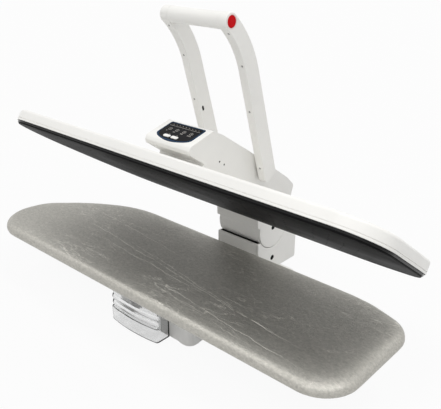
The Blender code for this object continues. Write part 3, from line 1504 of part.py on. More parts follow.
def panel_point(along, out=0.0):
    """Place on the sloping face: along it upwards, and out of it."""
    return (
        FRONT + PANEL_REACH + along * math.cos(PANEL_ANGLE) - out * math.sin(PANEL_ANGLE),
        BOARD_HEIGHT + PANEL_RISE + along * math.sin(PANEL_ANGLE) + out * math.cos(PANEL_ANGLE),
    )


def panel_matrix():
    """From the panel's own plane, across, along and out, to the closed head."""
    origin = panel_point(0.0)
    cosine, sine = math.cos(PANEL_ANGLE), math.sin(PANEL_ANGLE)
    return Matrix((
        (1, 0, 0, 0),
        (0, cosine, -sine, origin[0]),
        (0, sine, cosine, origin[1]),
        (0, 0, 0, 1),
    ))


def housing_outline():
    """Side profile of the head housing, from the hood back to the hinge."""
    centre = (HINGE_Y, HINGE_Z)
    seat_radius = BARREL_RADIUS + GAP
    back = (FRONT + HOUSING_BACK_REACH, BOARD_HEIGHT + HOUSING_BACK_RISE)
    rear_angle = tangent_angle(back, centre, BARREL_RADIUS)
    lip = NECK_LIP_DROP + HINGE_RISE
    lip_angle = math.pi + math.asin(lip / seat_radius)
    seat = arc(centre, seat_radius, rear_angle, lip_angle, 20)
    ledge = (FRONT + HOOD_LEDGE_REACH, BOARD_HEIGHT + HOOD_LEDGE_RISE)
    corners = [
        (NECK_LIP_Y, BOARD_HEIGHT - NECK_LIP_DROP),
        *reversed(seat),
        back,
    ]
    corners = [(across, up, 0.0, 0) for across, up in corners]
    top_z = BOARD_HEIGHT + HOUSING_TOP_RISE
    corners[-1] = (*back, HOUSING_BACK_ROUND / 2, 2)
    corners += [
        (back[0] - HOUSING_BACK_ROUND / 4, top_z - HOUSING_BACK_ROUND / 4, HOUSING_BACK_ROUND / 2, 3),
        (FRONT + HOUSING_TOP_REAR_REACH, top_z, 0.0, 0),
        (FRONT + HOUSING_TOP_FRONT_REACH, top_z, 0.0, 0),
        (FRONT + HOUSING_BROW_REACH, BOARD_HEIGHT + HOUSING_BROW_RISE, 0.0, 0),
        (*panel_point(PANEL_FACE_HIGH), 0.0, 0),
        (*panel_point(-PANEL_FACE_LOW), 0.0, 0),
        (FRONT + HOOD_LIP_REACH, BOARD_HEIGHT + HOOD_LIP_RISE, 0.0, 0),
        (FRONT + HOOD_FRONT_REACH, ledge[1], 0.0, 0),
        (*ledge, 0.0, 0),
        (ledge[0], HOUSING_BOTTOM, 0.0, 0),
        (NECK_Y, HOUSING_BOTTOM, 0.0, 0),
        (NECK_Y, BOARD_HEIGHT + NECK_CHIN_RISE, 0.0, 0),
    ]
    return rounded(corners)


def housing_edge_weight(first, last):
    """Full rounding along the outer edges of the sides, little round the hinge."""
    middle = (first + last) / 2
    if abs(middle.x) < HEAD_HALF - GAP:
        return 0.0
    below = middle.z < BOARD_HEIGHT + HOOD_LEDGE_RISE - GAP
    near_hinge = math.hypot(middle.y - HINGE_Y, middle.z - HINGE_Z) < SEAT_RADIUS
    return HOUSING_SEAT_EDGE_SHARE if below or near_hinge else 1.0


def build_housing(finishes, plate_window):
    """White housing between the arms, with the hood of the control panel."""
    outline = housing_outline()
    mesh = outline_mesh("head_housing", outline, -HEAD_HALF, HEAD_HALF, side=True)
    weigh_edges(mesh, housing_edge_weight)
    housing = add_piece("head_housing", mesh, finishes["white"], "head_pivot")
    bevel(housing, HOUSING_EDGE, 3)
    housing.modifiers["rounded_edges"].limit_method = "WEIGHT"
    inner = HEAD_HALF - HOUSING_WALL
    space = outline_mesh("housing_space", inset_points(outline, HOUSING_WALL), -inner, inner, side=True)
    combine(housing, add_cutter("housing_space", space, "head_pivot"))
    opening = block_mesh(
        "housing_opening",
        (-WINDOW_HALF, FRONT + MOUNT_FRONT_REACH, HOUSING_BOTTOM - OVERRUN),
        (WINDOW_HALF, NECK_Y - 2 * HOUSING_WALL, HOUSING_BOTTOM + 2 * HOUSING_WALL),
    )
    combine(housing, add_cutter("housing_opening", opening, "head_pivot"))
    combine(housing, plate_window)
    shaft = rod_mesh(
        "lever_shaft_hole",
        (-ARM_OUTER, LEVER_Y, LEVER_Z),
        (ARM_OUTER, LEVER_Y, LEVER_Z),
        LEVER_SHAFT_RADIUS + 2 * GAP,
    )
    combine(housing, add_cutter("lever_shaft_hole", shaft, "head_pivot"))
    panel_hole = outline_mesh(
        "panel_hole",
        panel_outline(-GAP),
        -HOUSING_WALL - OVERRUN,
        OVERRUN,
        matrix=panel_matrix(),
    )
    combine(housing, add_cutter("panel_hole", panel_hole, "head_pivot"))
    vents = []
    for index in range(2):
        spot = (FRONT + VENT_REACH + index * VENT_PITCH, BOARD_HEIGHT + VENT_RISE)
        vents.append(rod_mesh("vent", (-ARM_OUTER, *spot), (ARM_OUTER, *spot), VENT_RADIUS, sides=10))
    combine(housing, add_cutter("side_vents", joined("side_vents", vents), "head_pivot"))


def panel_outline(inset):
    """Control panel seen from the front: straight sides and a round lower edge."""
    drop = BEZEL_LOW + BEZEL_BREAK
    lower = [
        (-BEZEL_HALF * math.cos(turn), BEZEL_BREAK - drop * math.sin(turn))
        for turn in (math.pi * step / 14 for step in range(15))
    ]
    top = rounded([
        (BEZEL_HALF, BEZEL_BREAK, 0.0, 0),
        (BEZEL_HALF, BEZEL_HIGH, BEZEL_CORNER, 3),
        (-BEZEL_HALF, BEZEL_HIGH, BEZEL_CORNER, 3),
        (-BEZEL_HALF, BEZEL_BREAK, 0.0, 0),
    ])
    points = lower[:-1] + top[:-1]
    return inset_points(points, inset)


def button_outline(middle, grow=0.0):
    """Lozenge key with round ends."""
    half_length = BUTTON_LENGTH / 2 + grow
    half_width = BUTTON_WIDTH / 2 + grow
    corner = half_width * BUTTON_ROUND_SHARE
    corners = [
        (middle - half_length, BUTTON_V - half_width, corner, 3),
        (middle + half_length, BUTTON_V - half_width, corner, 3),
        (middle + half_length, BUTTON_V + half_width, corner, 3),
        (middle - half_length, BUTTON_V + half_width, corner, 3),
    ]
    return rounded(corners)


def build_panel(finishes):
    """Bezel, dark lens, two keys and the circuit board behind them."""
    matrix = panel_matrix()
    bezel = add_piece(
        "panel_bezel",
        outline_mesh("panel_bezel", panel_outline(0.0), -BEZEL_DEPTH, BEZEL_PROUD, matrix=matrix),
        finishes["navy"],
        "head_pivot",
    )
    frame_space = outline_mesh(
        "bezel_space",
        panel_outline(BEZEL_BORDER),
        -BEZEL_DEPTH - OVERRUN,
        BEZEL_PROUD + OVERRUN,
        matrix=matrix,
    )
    combine(bezel, add_cutter("bezel_space", frame_space, "head_pivot"))
    glass = panel_outline(BEZEL_BORDER + GAP)
    mesh = outline_mesh("panel_lens", glass, -BEZEL_DEPTH, LENS_PROUD, matrix=matrix)
    lens = add_piece("panel_lens", mesh, finishes["lens"], "head_pivot")
    middles = [BUTTON_MIDDLE_X + side * BUTTON_PITCH / 2 for side in (-1, 1)]
    for middle, side in zip(middles, ("left", "right")):
        hole = outline_mesh(
            f"key_hole_{side}",
            button_outline(middle, GAP),
            -BEZEL_DEPTH - OVERRUN,
            LENS_PROUD + OVERRUN,
            matrix=matrix,
        )
        combine(lens, add_cutter(f"key_hole_{side}", hole, "head_pivot"))
        name = f"panel_key_{side}"
        key = add_piece(
            name,
            outline_mesh(name, button_outline(middle), -KEY_DEPTH, BUTTON_PROUD, matrix=matrix),
            finishes["white"],
            f"key_guide_{side}",
        )
        bevel(key, BUTTON_TRAVEL / 2, 1)

    board_out = -BEZEL_DEPTH - POST_LENGTH - GAP
    board_outline_points = panel_outline(BEZEL_BORDER / 2)
    circuit = add_piece(
        "control_board",
        outline_mesh(
            "control_board",
            board_outline_points,
            board_out - CIRCUIT_SHEET,
            board_out,
            matrix=matrix,
        ),
        finishes["circuit"],
        "head_pivot",
        False,
    )
    for middle, side in zip(middles, ("left", "right")):
        half = SWITCH_SIZE / 2
        switch = block_mesh(
            f"key_switch_{side}",
            (middle - half, BUTTON_V - half, board_out - CIRCUIT_SHEET / 2),
            (middle + half, BUTTON_V + half, board_out + SWITCH_HEIGHT),
        )
        switch.transform(matrix)
        combine(circuit, add_cutter(f"key_switch_{side}", switch, "head_pivot"), "UNION")
    ring = BEZEL_HALF - BEZEL_BORDER / 2
    spots = [
        (side * (ring - GAP), height)
        for side in (-1, 1)
        for height in (BEZEL_HIGH - POST_INSET, BEZEL_BREAK + POST_RADIUS)
    ]
    posts = [
        rod_mesh(
            "post",
            matrix @ Vector((*spot, board_out - CIRCUIT_SHEET / 2)),
            matrix @ Vector((*spot, -BEZEL_DEPTH - GAP)),
            POST_RADIUS,
            sides=8,
        )
        for spot in spots
    ]
    combine(circuit, add_cutter("panel_posts", joined("panel_posts", posts), "head_pivot"), "UNION")


def arm_frame():
    """Directions and places of an arm's centre line with the head closed."""
    up = Vector((-math.cos(ARM_ANGLE), math.sin(ARM_ANGLE)))
    back = Vector((math.sin(ARM_ANGLE), math.cos(ARM_ANGLE)))
    pivot_point = Vector((LEVER_Y, LEVER_Z))
    bend_start = pivot_point + up * ARM_STRAIGHT
    bend_centre = bend_start - back * ARM_BEND_RADIUS
    first = math.atan2(back.y, back.x)
    last = first + ARM_BEND
    grip = bend_centre + Vector((math.cos(last), math.sin(last))) * ARM_BEND_RADIUS
    return up, back, pivot_point, bend_centre, first, last, grip


def arm_outline():
    """Side profile of an arm: straight, then bent forwards to the grip."""
    up, back, pivot_point, bend_centre, first, last, grip = arm_frame()
    steps = 8
    rear, front = [], []
    for step in range(steps + 1):
        share = step / steps
        angle = first + (last - first) * share
        half = ARM_HALF + (ARM_TIP_HALF - ARM_HALF) * share
        way = Vector((math.cos(angle), math.sin(angle)))
        rear.append(tuple(bend_centre + way * (ARM_BEND_RADIUS + half)))
        front.append(tuple(bend_centre + way * (ARM_BEND_RADIUS - half)))
    tip = arc(tuple(grip), ARM_TIP_HALF, last, last + math.pi, 8)
    heel_back = tuple(pivot_point - up * ARM_HEEL_REAR + back * ARM_HALF)
    heel_front = tuple(pivot_point - up * ARM_HEEL_FRONT - back * ARM_HALF)
    corners = [
        (*heel_front, ARM_HEEL_ROUND, 3),
        (*heel_back, ARM_HEEL_ROUND, 3),
    ]
    chain = rear[:-1] + tip + list(reversed(front[:-1]))
    corners += [(across, height, 0.0, 0) for across, height in chain]
    return rounded(corners), tuple(grip)


def build_arms(finishes):
    """Two arms with the hole for the grip core and the socket of the lever shaft."""
    outline, grip = arm_outline()
    up, back, pivot_point = arm_frame()[:3]
    for side, name in ((-1, "handle_arm_left"), (1, "handle_arm_right")):
        low, high = sorted((side * ARM_INNER, side * ARM_OUTER))
        mesh = outline_mesh(name, outline, low, high, side=True)
        arm = add_piece(name, mesh, finishes["white"], "lever_pivot")
        bevel(arm, ARM_EDGE, 2)
        grip_hole = rod_mesh(
            f"{name}_grip_hole",
            (low - OVERRUN, *grip),
            (high + OVERRUN, *grip),
            CORE_RADIUS + GAP,
            sides=28,
        )
        combine(arm, add_cutter(f"{name}_grip_hole", grip_hole, "lever_pivot"))
        shaft_hole = rod_mesh(
            f"{name}_shaft_hole",
            (side * (ARM_INNER - OVERRUN), LEVER_Y, LEVER_Z),
            (side * (ARM_INNER + ARM_SOCKET_DEPTH), LEVER_Y, LEVER_Z),
            LEVER_SHAFT_RADIUS + GAP,
        )
        combine(arm, add_cutter(f"{name}_shaft_hole", shaft_hole, "lever_pivot"))
        if side < 0:
            middle = pivot_point + up * ARM_STRAIGHT * SLOT_SHARE
            ends = [middle + up * shift for shift in (-SLOT_LENGTH / 2, SLOT_LENGTH / 2)]
            slot_points = rounded([
                (*(ends[0] + back * SLOT_RADIUS), SLOT_RADIUS, 4),
                (*(ends[1] + back * SLOT_RADIUS), SLOT_RADIUS, 4),
                (*(ends[1] - back * SLOT_RADIUS), SLOT_RADIUS, 4),
                (*(ends[0] - back * SLOT_RADIUS), SLOT_RADIUS, 4),
            ])
            deep, clear = -ARM_INNER - SLOT_DEPTH, -ARM_INNER + OVERRUN
            slot = outline_mesh("arm_slot", slot_points, deep, clear, side=True)
            combine(arm, add_cutter("arm_slot", slot, "lever_pivot"))
    return grip


def build_grip(finishes, grip):
    """Grip sleeve on its core, end cap, steam button, its spring and switch."""
    sleeve_end = ARM_INNER - GAP
    sleeve = add_piece(
        "grip_sleeve",
        rod_mesh("grip_sleeve", (-sleeve_end, *grip), (sleeve_end, *grip), GRIP_RADIUS, sides=32),
        finishes["white"],
        "lever_pivot",
    )
    core_bore = rod_mesh(
        "sleeve_bore",
        (-sleeve_end - OVERRUN, *grip),
        (sleeve_end + OVERRUN, *grip),
        CORE_RADIUS + GAP,
        sides=28,
    )
    combine(sleeve, add_cutter("sleeve_bore", core_bore, "lever_pivot"))
    left_end = -ARM_OUTER + CAP_DEPTH
    core = add_piece(
        "grip_core",
        rod_mesh("grip_core", (left_end + GAP, *grip), (CORE_END, *grip), CORE_RADIUS, sides=28),
        finishes["steel"],
        "lever_pivot",
    )
    inner_radius = CORE_RADIUS - CORE_WALL
    near, far = (left_end - OVERRUN, *grip), (CORE_END + OVERRUN, *grip)
    bore = rod_mesh("core_bore", near, far, inner_radius, sides=20)
    combine(core, add_cutter("core_bore", bore, "lever_pivot"))
    near, far = (left_end, *grip), (-ARM_OUTER - CAP_PROUD, *grip)
    mesh = rod_mesh("grip_end_cap", near, far, CORE_RADIUS, sides=28)
    add_piece("grip_end_cap", mesh, finishes["white"], "lever_pivot")

    face = ARM_OUTER + STEAM_PROUD
    back = ARM_OUTER - BUTTON_CAP_DEPTH
    button = add_piece(
        "steam_button",
        rod_mesh("steam_button", (back, *grip), (face, *grip), BUTTON_CAP_RADIUS, sides=32),
        finishes["red"],
        "steam_button_guide",
    )
    bevel(button, CAP_PROUD, 2)
    stem_end = back - STEM_LENGTH
    stem = rod_mesh("button_stem", (stem_end, *grip), (back + GAP, *grip), STEM_RADIUS, sides=12)
    combine(button, add_cutter("button_stem", stem, "steam_button_guide"), "UNION")
    wire_radius = STEM_RADIUS + GAP + RETURN_WIRE
    seat = stem_end + STEM_RADIUS
    points = coil_points(seat, back - RETURN_WIRE - GAP, grip, wire_radius, RETURN_TURNS, 0.0)
    tube_piece(
        "steam_button_spring",
        points,
        RETURN_WIRE,
        finishes["steel"],
        "steam_button_guide",
        0,
    )
    micro_high = stem_end - STEAM_TRAVEL - GAP
    micro = add_piece(
        "steam_switch",
        block_mesh(
            "steam_switch",
            (micro_high - MICRO_LENGTH, grip[0] - MICRO_WIDTH / 2, grip[1] - MICRO_HEIGHT / 2),
            (micro_high, grip[0] + MICRO_WIDTH / 2, grip[1] + MICRO_HEIGHT / 2),
        ),
        finishes["black"],
        "lever_pivot",
        False,
    )
    carrier = rod_mesh(
        "switch_carrier",
        (micro_high - MICRO_LENGTH, *grip),
        (micro_high - MICRO_LENGTH * 2 / 3, *grip),
        inner_radius - GAP,
    )
    combine(micro, add_cutter("switch_carrier", carrier, "lever_pivot"), "UNION")


def build_lever_shaft(finishes):
    """Shaft that turns in the hinge plates with the arms, and its return spring."""
    shaft_end = ARM_INNER + ARM_SOCKET_DEPTH - GAP
    centre = (LEVER_Y, LEVER_Z)
    add_piece(
        "lever_shaft",
        rod_mesh("lever_shaft", (-shaft_end, *centre), (shaft_end, *centre), LEVER_SHAFT_RADIUS),
        finishes["steel"],
        "lever_pivot",
    )
    radius = LEVER_SHAFT_RADIUS + GAP + LEVER_WIRE
    near = PLATE_X + EAR_SHEET / 2 + LEVER_WIRE + GAP
    far = HEAD_HALF - HOUSING_WALL - LEVER_WIRE - GAP
    points = coil_points(near, far, centre, radius, LEVER_TURNS, 0.0)
    tube_piece("lever_spring", points, LEVER_WIRE, finishes["steel"], "lever_pivot", 1)


def build():
    """Whole press."""
    clear_scene()
    finishes = make_finishes()
    grip = arm_outline()[1]
    pivot("head_pivot", (0, HINGE_Y, HINGE_Z), angle=-OPEN_ANGLE)
    pivot("lever_pivot", (0, LEVER_Y, LEVER_Z), "head_pivot")
    pivot("steam_button_guide", (ARM_OUTER, *grip), "lever_pivot")
    key_place = panel_point(BUTTON_V)
    for side, name in ((-1, "key_guide_left"), (1, "key_guide_right")):
        pivot(name, (BUTTON_MIDDLE_X + side * BUTTON_PITCH / 2, *key_place), "head_pivot")
    pivot("tank_runner", (VALVE_X, FRONT + TANK_FASCIA_REAR_REACH, TANK_BOTTOM))
    build_board(finishes)
    build_base(finishes)
    build_feet(finishes)
    build_tank(finishes)
    build_water_path(finishes)
    build_electrics(finishes)
    build_column(finishes)
    build_hinge(finishes)
    build_hinge_fittings(finishes)
    build_hinge_frame(finishes)
    plate_window = build_barrel(finishes)
    build_plate_stack(finishes)
    build_heating(finishes)
    build_housing(finishes, plate_window)
    build_panel(finishes)
    build_arms(finishes)
    build_grip(finishes, grip)
    build_lever_shaft(finishes)
    bpy.context.view_layer.update()


build()
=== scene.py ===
"""Steam ironing press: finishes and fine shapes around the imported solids."""

import math

import bmesh
import bpy
import numpy as np
from mathutils import Matrix, Vector, noise


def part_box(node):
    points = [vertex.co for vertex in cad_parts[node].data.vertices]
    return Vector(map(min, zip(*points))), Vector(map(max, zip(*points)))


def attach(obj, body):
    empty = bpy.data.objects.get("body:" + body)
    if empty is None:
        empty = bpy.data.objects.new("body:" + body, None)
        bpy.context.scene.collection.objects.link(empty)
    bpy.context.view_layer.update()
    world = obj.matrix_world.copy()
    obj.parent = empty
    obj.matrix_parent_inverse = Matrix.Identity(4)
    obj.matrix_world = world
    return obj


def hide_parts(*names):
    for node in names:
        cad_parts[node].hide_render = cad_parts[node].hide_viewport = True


bl_info = {
    "name": "Steam press looks",
    "version": (1, 0, 0),
    "blender": (4, 5, 0),
    "location": "3D View > Sidebar > Press",
    "description": "Builds the finishes and fine shapes of a steam ironing press",
    "category": "Object",
}

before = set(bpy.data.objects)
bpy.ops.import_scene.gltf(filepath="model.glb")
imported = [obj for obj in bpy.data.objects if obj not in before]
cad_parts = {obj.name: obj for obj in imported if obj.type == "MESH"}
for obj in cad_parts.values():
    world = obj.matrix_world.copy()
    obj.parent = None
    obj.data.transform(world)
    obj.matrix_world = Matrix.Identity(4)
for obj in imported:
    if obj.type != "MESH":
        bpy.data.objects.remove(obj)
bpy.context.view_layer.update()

# Where things are with the head closed, as in the solids
FRONT = -0.256
HINGE = Vector((0, 0.160, 0.159))
OPEN_ANGLE = math.radians(35.5)
LEVER_Y, LEVER_Z = FRONT + 0.2681, 0.2684
BOARD_TOP = 0.151
BOARD_LOW = 0.1225
HEAD_HALF = 0.0645
ARM_INNER, ARM_OUTER = 0.070, 0.090
AXLE = (HINGE.y, HINGE.z)
DRUM_RADIUS = 0.052
CHEEK_WIDTH, SEAM = 0.0057, 0.0003
COLUMN_HALF = HEAD_HALF - CHEEK_WIDTH - SEAM
GRIP_RADIUS = 0.0171

# Gap that counts as none, and the angle from which an edge looks sharp
WELD = 0.00001
SMOOTH = math.radians(32)

# How many ends of a skin are closed; with none its last loop joins the first
RING, LAST_END, BOTH_ENDS = 0, 1, 2

# An arm's centre line: straight length, radius of the bend, half widths
ARM_STRAIGHT, ARM_BEND = 0.2345, 0.2273
ARM_HALF_LOW, ARM_HALF_HIGH = 0.0200, 0.0172

# Middles of the keys across the control panel, and a depth that goes right through it
KEY_PLACES = {"left": -0.01575, "right": 0.00575}
THROUGH = (-0.007, 0.005)

TO_OPEN = Matrix.Translation(HINGE) @ Matrix.Rotation(-OPEN_ANGLE, 4, "X") @ Matrix.Translation(-HINGE)

# From the panel's own plane, across, along and out, to the closed head
PANEL_LEAN = math.radians(50.2)
TO_PANEL = Matrix((
    (1, 0, 0, 0),
    (0, math.cos(PANEL_LEAN), -math.sin(PANEL_LEAN), FRONT + 0.042),
    (0, math.sin(PANEL_LEAN), math.cos(PANEL_LEAN), BOARD_TOP + 0.082),
    (0, 0, 0, 1),
))

# Materials by the name of their slot
FINISHES = {}


def tint(name, description, default):
    """Property that holds a colour."""
    return bpy.props.FloatVectorProperty(
        name=name, description=description, default=default, subtype="COLOR", size=3, min=0.0, max=1.0
    )


def length(name, description, default, low, high):
    """Property that holds a length."""
    limits = {"min": low, "max": high, "precision": 5}
    return bpy.props.FloatProperty(
        name=name, description=description, default=default, unit="LENGTH", **limits
    )


def strength(name, description, default, high):
    """Property that holds how strong a light is."""
    return bpy.props.FloatProperty(
        name=name, description=description, default=default, min=0.0, max=high
    )


class BoardSettings(bpy.types.PropertyGroup):
    """Silver cover of the ironing board."""

    colour: tint("Cover colour", "Colour of the metallised cotton", (0.45, 0.437, 0.398))
    crease: length("Crease depth", "Height of the creases that use has left", 0.00020, 0.0, 0.002)
    worn: length("Worn edge", "How far the edge gives way at the front right corner", 0.0055, 0.0, 0.010)
    edge_round: length("Edge rounding", "Radius of the padded upper edge", 0.0150, 0.004, 0.020)
    voxel: length("Cloth cell", "Size of the cells that the cover is made of", 0.0042, 0.003, 0.010)


class HeadSettings(bpy.types.PropertyGroup):
    """Head shell, heated plate and housing."""

    colour: tint("Shell colour", "Colour of the white mouldings", (0.85, 0.842, 0.812))
    groove: length("Groove depth", "Depth of the groove round the head shell", 0.0011, 0.0, 0.002)
    hole_radius: length("Steam hole radius", "Radius of each hole in the plate", 0.0022, 0.001, 0.004)
    plate_colour: tint("Plate colour", "Colour of the heated plate's coating", (0.0062, 0.0062, 0.0065))


class HandleSettings(bpy.types.PropertyGroup):
    """Handle and steam button."""

    button_colour: tint("Button colour", "Colour of the steam button", (0.55, 0.002, 0.006))
    arm_round: length("Arm rounding", "Radius of the arms' long edges", 0.0052, 0.001, 0.008)
    screw_radius: length("Screw radius", "Radius of the countersunk screws' heads", 0.0022, 0.001, 0.006)


class TankSettings(bpy.types.PropertyGroup):
    """Water tank."""

    colour: tint("Tank colour", "Tint of the clear plastic", (0.91, 0.912, 0.912))
    rib: length("Rib height", "How far the tank's ribs stand out", 0.0030, 0.0, 0.004)
    rib_count: bpy.props.IntProperty(
        name="Ribs", description="Number of ribs across the tank's upper front", default=2, min=1, max=6
    )


class StageSettings(bpy.types.PropertyGroup):
    """Floor, light and camera."""

    floor_colour: tint("Floor colour", "Colour of the floor", (0.58, 0.58, 0.58))
    sky: strength("Sky light", "Strength of the even light from all round", 0.62, 2.0)
    key: strength("Key light", "Strength of the light from the front and above", 0.72, 5.0)
    top: strength("Top light", "Strength of the light from above and behind", 0.88, 5.0)
    side: strength("Side light", "Power of the soft lamp at the right", 1.1, 20.0)


# Materials


def add_node(tree, kind, inputs=None, **settings):
    """New node with its settings and its inputs, values or sockets."""
    node = tree.nodes.new(kind)
    for name, value in settings.items():
        setattr(node, name, value)
    for name, value in (inputs or {}).items():
        if isinstance(value, bpy.types.NodeSocket):
            tree.links.new(value, node.inputs[name])
        else:
            node.inputs[name].default_value = value
    return node


def calculate(tree, operation, first, second=0.0):
    """One step of arithmetic in a node tree."""
    return add_node(tree, "ShaderNodeMath", {0: first, 1: second}, operation=operation).outputs[0]


class Finish:
    """A Principled material while its nodes are put together."""

    def __init__(self, name, colour, roughness, metallic=0.0):
        self.name, self.base = name, colour
        self.material = bpy.data.materials.new(name)
        self.material.use_nodes = True
        self.tree = self.material.node_tree
        self.shader = self.tree.nodes["Principled BSDF"]
        self.shader.inputs["Base Color"].default_value = (*colour, 1.0)
        self.shader.inputs["Roughness"].default_value = roughness
        self.shader.inputs["Metallic"].default_value = metallic

    def set(self, **sockets):
        """Plain values on the shader's own sockets."""
        for name, value in sockets.items():
            self.shader.inputs[name.replace("_", " ")].default_value = value
        return self

    def node(self, kind, inputs=None, **settings):
        """New node in this material."""
        return add_node(self.tree, kind, inputs, **settings)

    def calc(self, operation, first, second=0.0):
        """One step of arithmetic in this material."""
        return calculate(self.tree, operation, first, second)

    def place(self, scale=(1, 1, 1), degrees=0):
        """Coordinates on the object itself, stretched, and turned about Z."""
        start = self.node("ShaderNodeTexCoord").outputs["Object"]
        inputs = {"Vector": start, "Scale": scale, "Rotation": (0, 0, math.radians(degrees))}
        return self.node("ShaderNodeMapping", inputs).outputs["Vector"]

    def noise(self, spot, scale, detail=3.0, roughness=0.5, distortion=0.0):
        """Cloudy pattern from 0 to 1."""
        inputs = {"Vector": spot, "Scale": scale, "Detail": detail}
        inputs.update({"Roughness": roughness, "Distortion": distortion})
        return self.node("ShaderNodeTexNoise", inputs).outputs["Fac"]

    def cells(self, spot, scale):
        """Distance to the nearest of many scattered points."""
        return self.node("ShaderNodeTexVoronoi", {"Vector": spot, "Scale": scale}).outputs["Distance"]

    def band(self, value, low, high, start=0.0, end=1.0):
        """Value moved from one range to another, and kept in it."""
        inputs = {"Value": value, "From Min": low, "From Max": high, "To Min": start, "To Max": end}
        return self.node("ShaderNodeMapRange", inputs).outputs["Result"]

    def sum(self, first, second, share=0.5):
        """Weighed sum of two values."""
        return self.calc("ADD", first, self.calc("MULTIPLY", second, share))

    def mix(self, share, first, second):
        """Colour between two colours."""
        inputs = {0: share}
        for index, part in ((6, first), (7, second)):
            inputs[index] = part if isinstance(part, bpy.types.NodeSocket) else (*part, 1.0)
        return self.node("ShaderNodeMix", inputs, data_type="RGBA").outputs[2]

    def colour(self, socket):
        """Link a socket to the base colour."""
        self.tree.links.new(socket, self.shader.inputs["Base Color"])

    def tone(self, pattern, low, high, first, last):
        """Base colour that goes from one shade to another along a pattern."""
        share = self.band(pattern, low, high)
        self.colour(self.mix(share, shade(self.base, first), shade(self.base, last)))

    def gloss(self, pattern, low, high, first, last):
        """Roughness that goes from one value to another along a pattern."""
        rough = self.band(pattern, low, high, first, last)
        self.tree.links.new(rough, self.shader.inputs["Roughness"])

    def bump(self, height, strength, distance):
        """Fine relief that needs no geometry."""
        inputs = {"Height": height, "Strength": strength, "Distance": distance}
        normal = self.node("ShaderNodeBump", inputs).outputs["Normal"]
        self.tree.links.new(normal, self.shader.inputs["Normal"])


def shade(colour, factor):
    """Colour made lighter or darker."""
    return tuple(min(1.0, part * factor) for part in colour)


def moulded(name, colour, roughness, grain=1400.0, relief=0.10):
    """Moulded plastic: fine spark grain, slight clouds of tone and gloss."""
    finish = Finish(name, colour, roughness)
    spot = finish.place()
    clouds = finish.noise(spot, 9.0, 2.0)
    finish.tone(clouds, 0.3, 0.7, 0.975, 1.015)
    handled = finish.noise(spot, 38.0, 4.0, 0.6)
    finish.gloss(handled, 0.3, 0.7, roughness - 0.05, roughness + 0.06)
    grain_height = finish.sum(finish.noise(spot, grain, 2.0), finish.noise(spot, 130.0, 2.0), 0.35)
    finish.bump(grain_height, relief, 0.0004)
    return finish


def fold_line(finish, offset, slope, start, end, width):
    """One long pressed fold across the board, with broken ends, as a mask for relief and painted
    highlight.
    """
    spot = finish.node("ShaderNodeSeparateXYZ", {0: finish.place()}).outputs
    wander = finish.noise(finish.place((7, 7, 7)), 2.0, 5.0, 0.6)
    across = finish.sum(finish.sum(spot["Y"], spot["X"], slope), wander, 0.020)
    away = finish.calc("ABSOLUTE", finish.calc("ADD", across, offset - 0.010))
    line = finish.band(away, 0.0, width, 1.0, 0.0)
    for share in (
        finish.band(spot["X"], start - 0.03, start + 0.05),
        finish.band(spot["X"], end - 0.05, end + 0.03, 1.0, 0.0),
        finish.band(finish.noise(finish.place((40, 40, 40)), 1.0, 3.0, 0.6), 0.34, 0.50),
    ):
        line = finish.calc("MULTIPLY", line, share)
    return line


def crease_line(finish, degrees, stretch, scale, width, patch):
    """Thin winding creases that run one way and show only in patches, as a mask for relief and painted
    highlight.
    """
    cloud = finish.noise(finish.place(stretch, degrees), scale, 4.0, 0.55)
    away = finish.calc("ABSOLUTE", finish.calc("SUBTRACT", cloud, 0.5))
    where = finish.band(finish.noise(finish.place((patch,) * 3), 1.7, 2.0), 0.50, 0.68)
    return finish.calc("MULTIPLY", finish.band(away, 0.0, width, 1.0, 0.0), where)


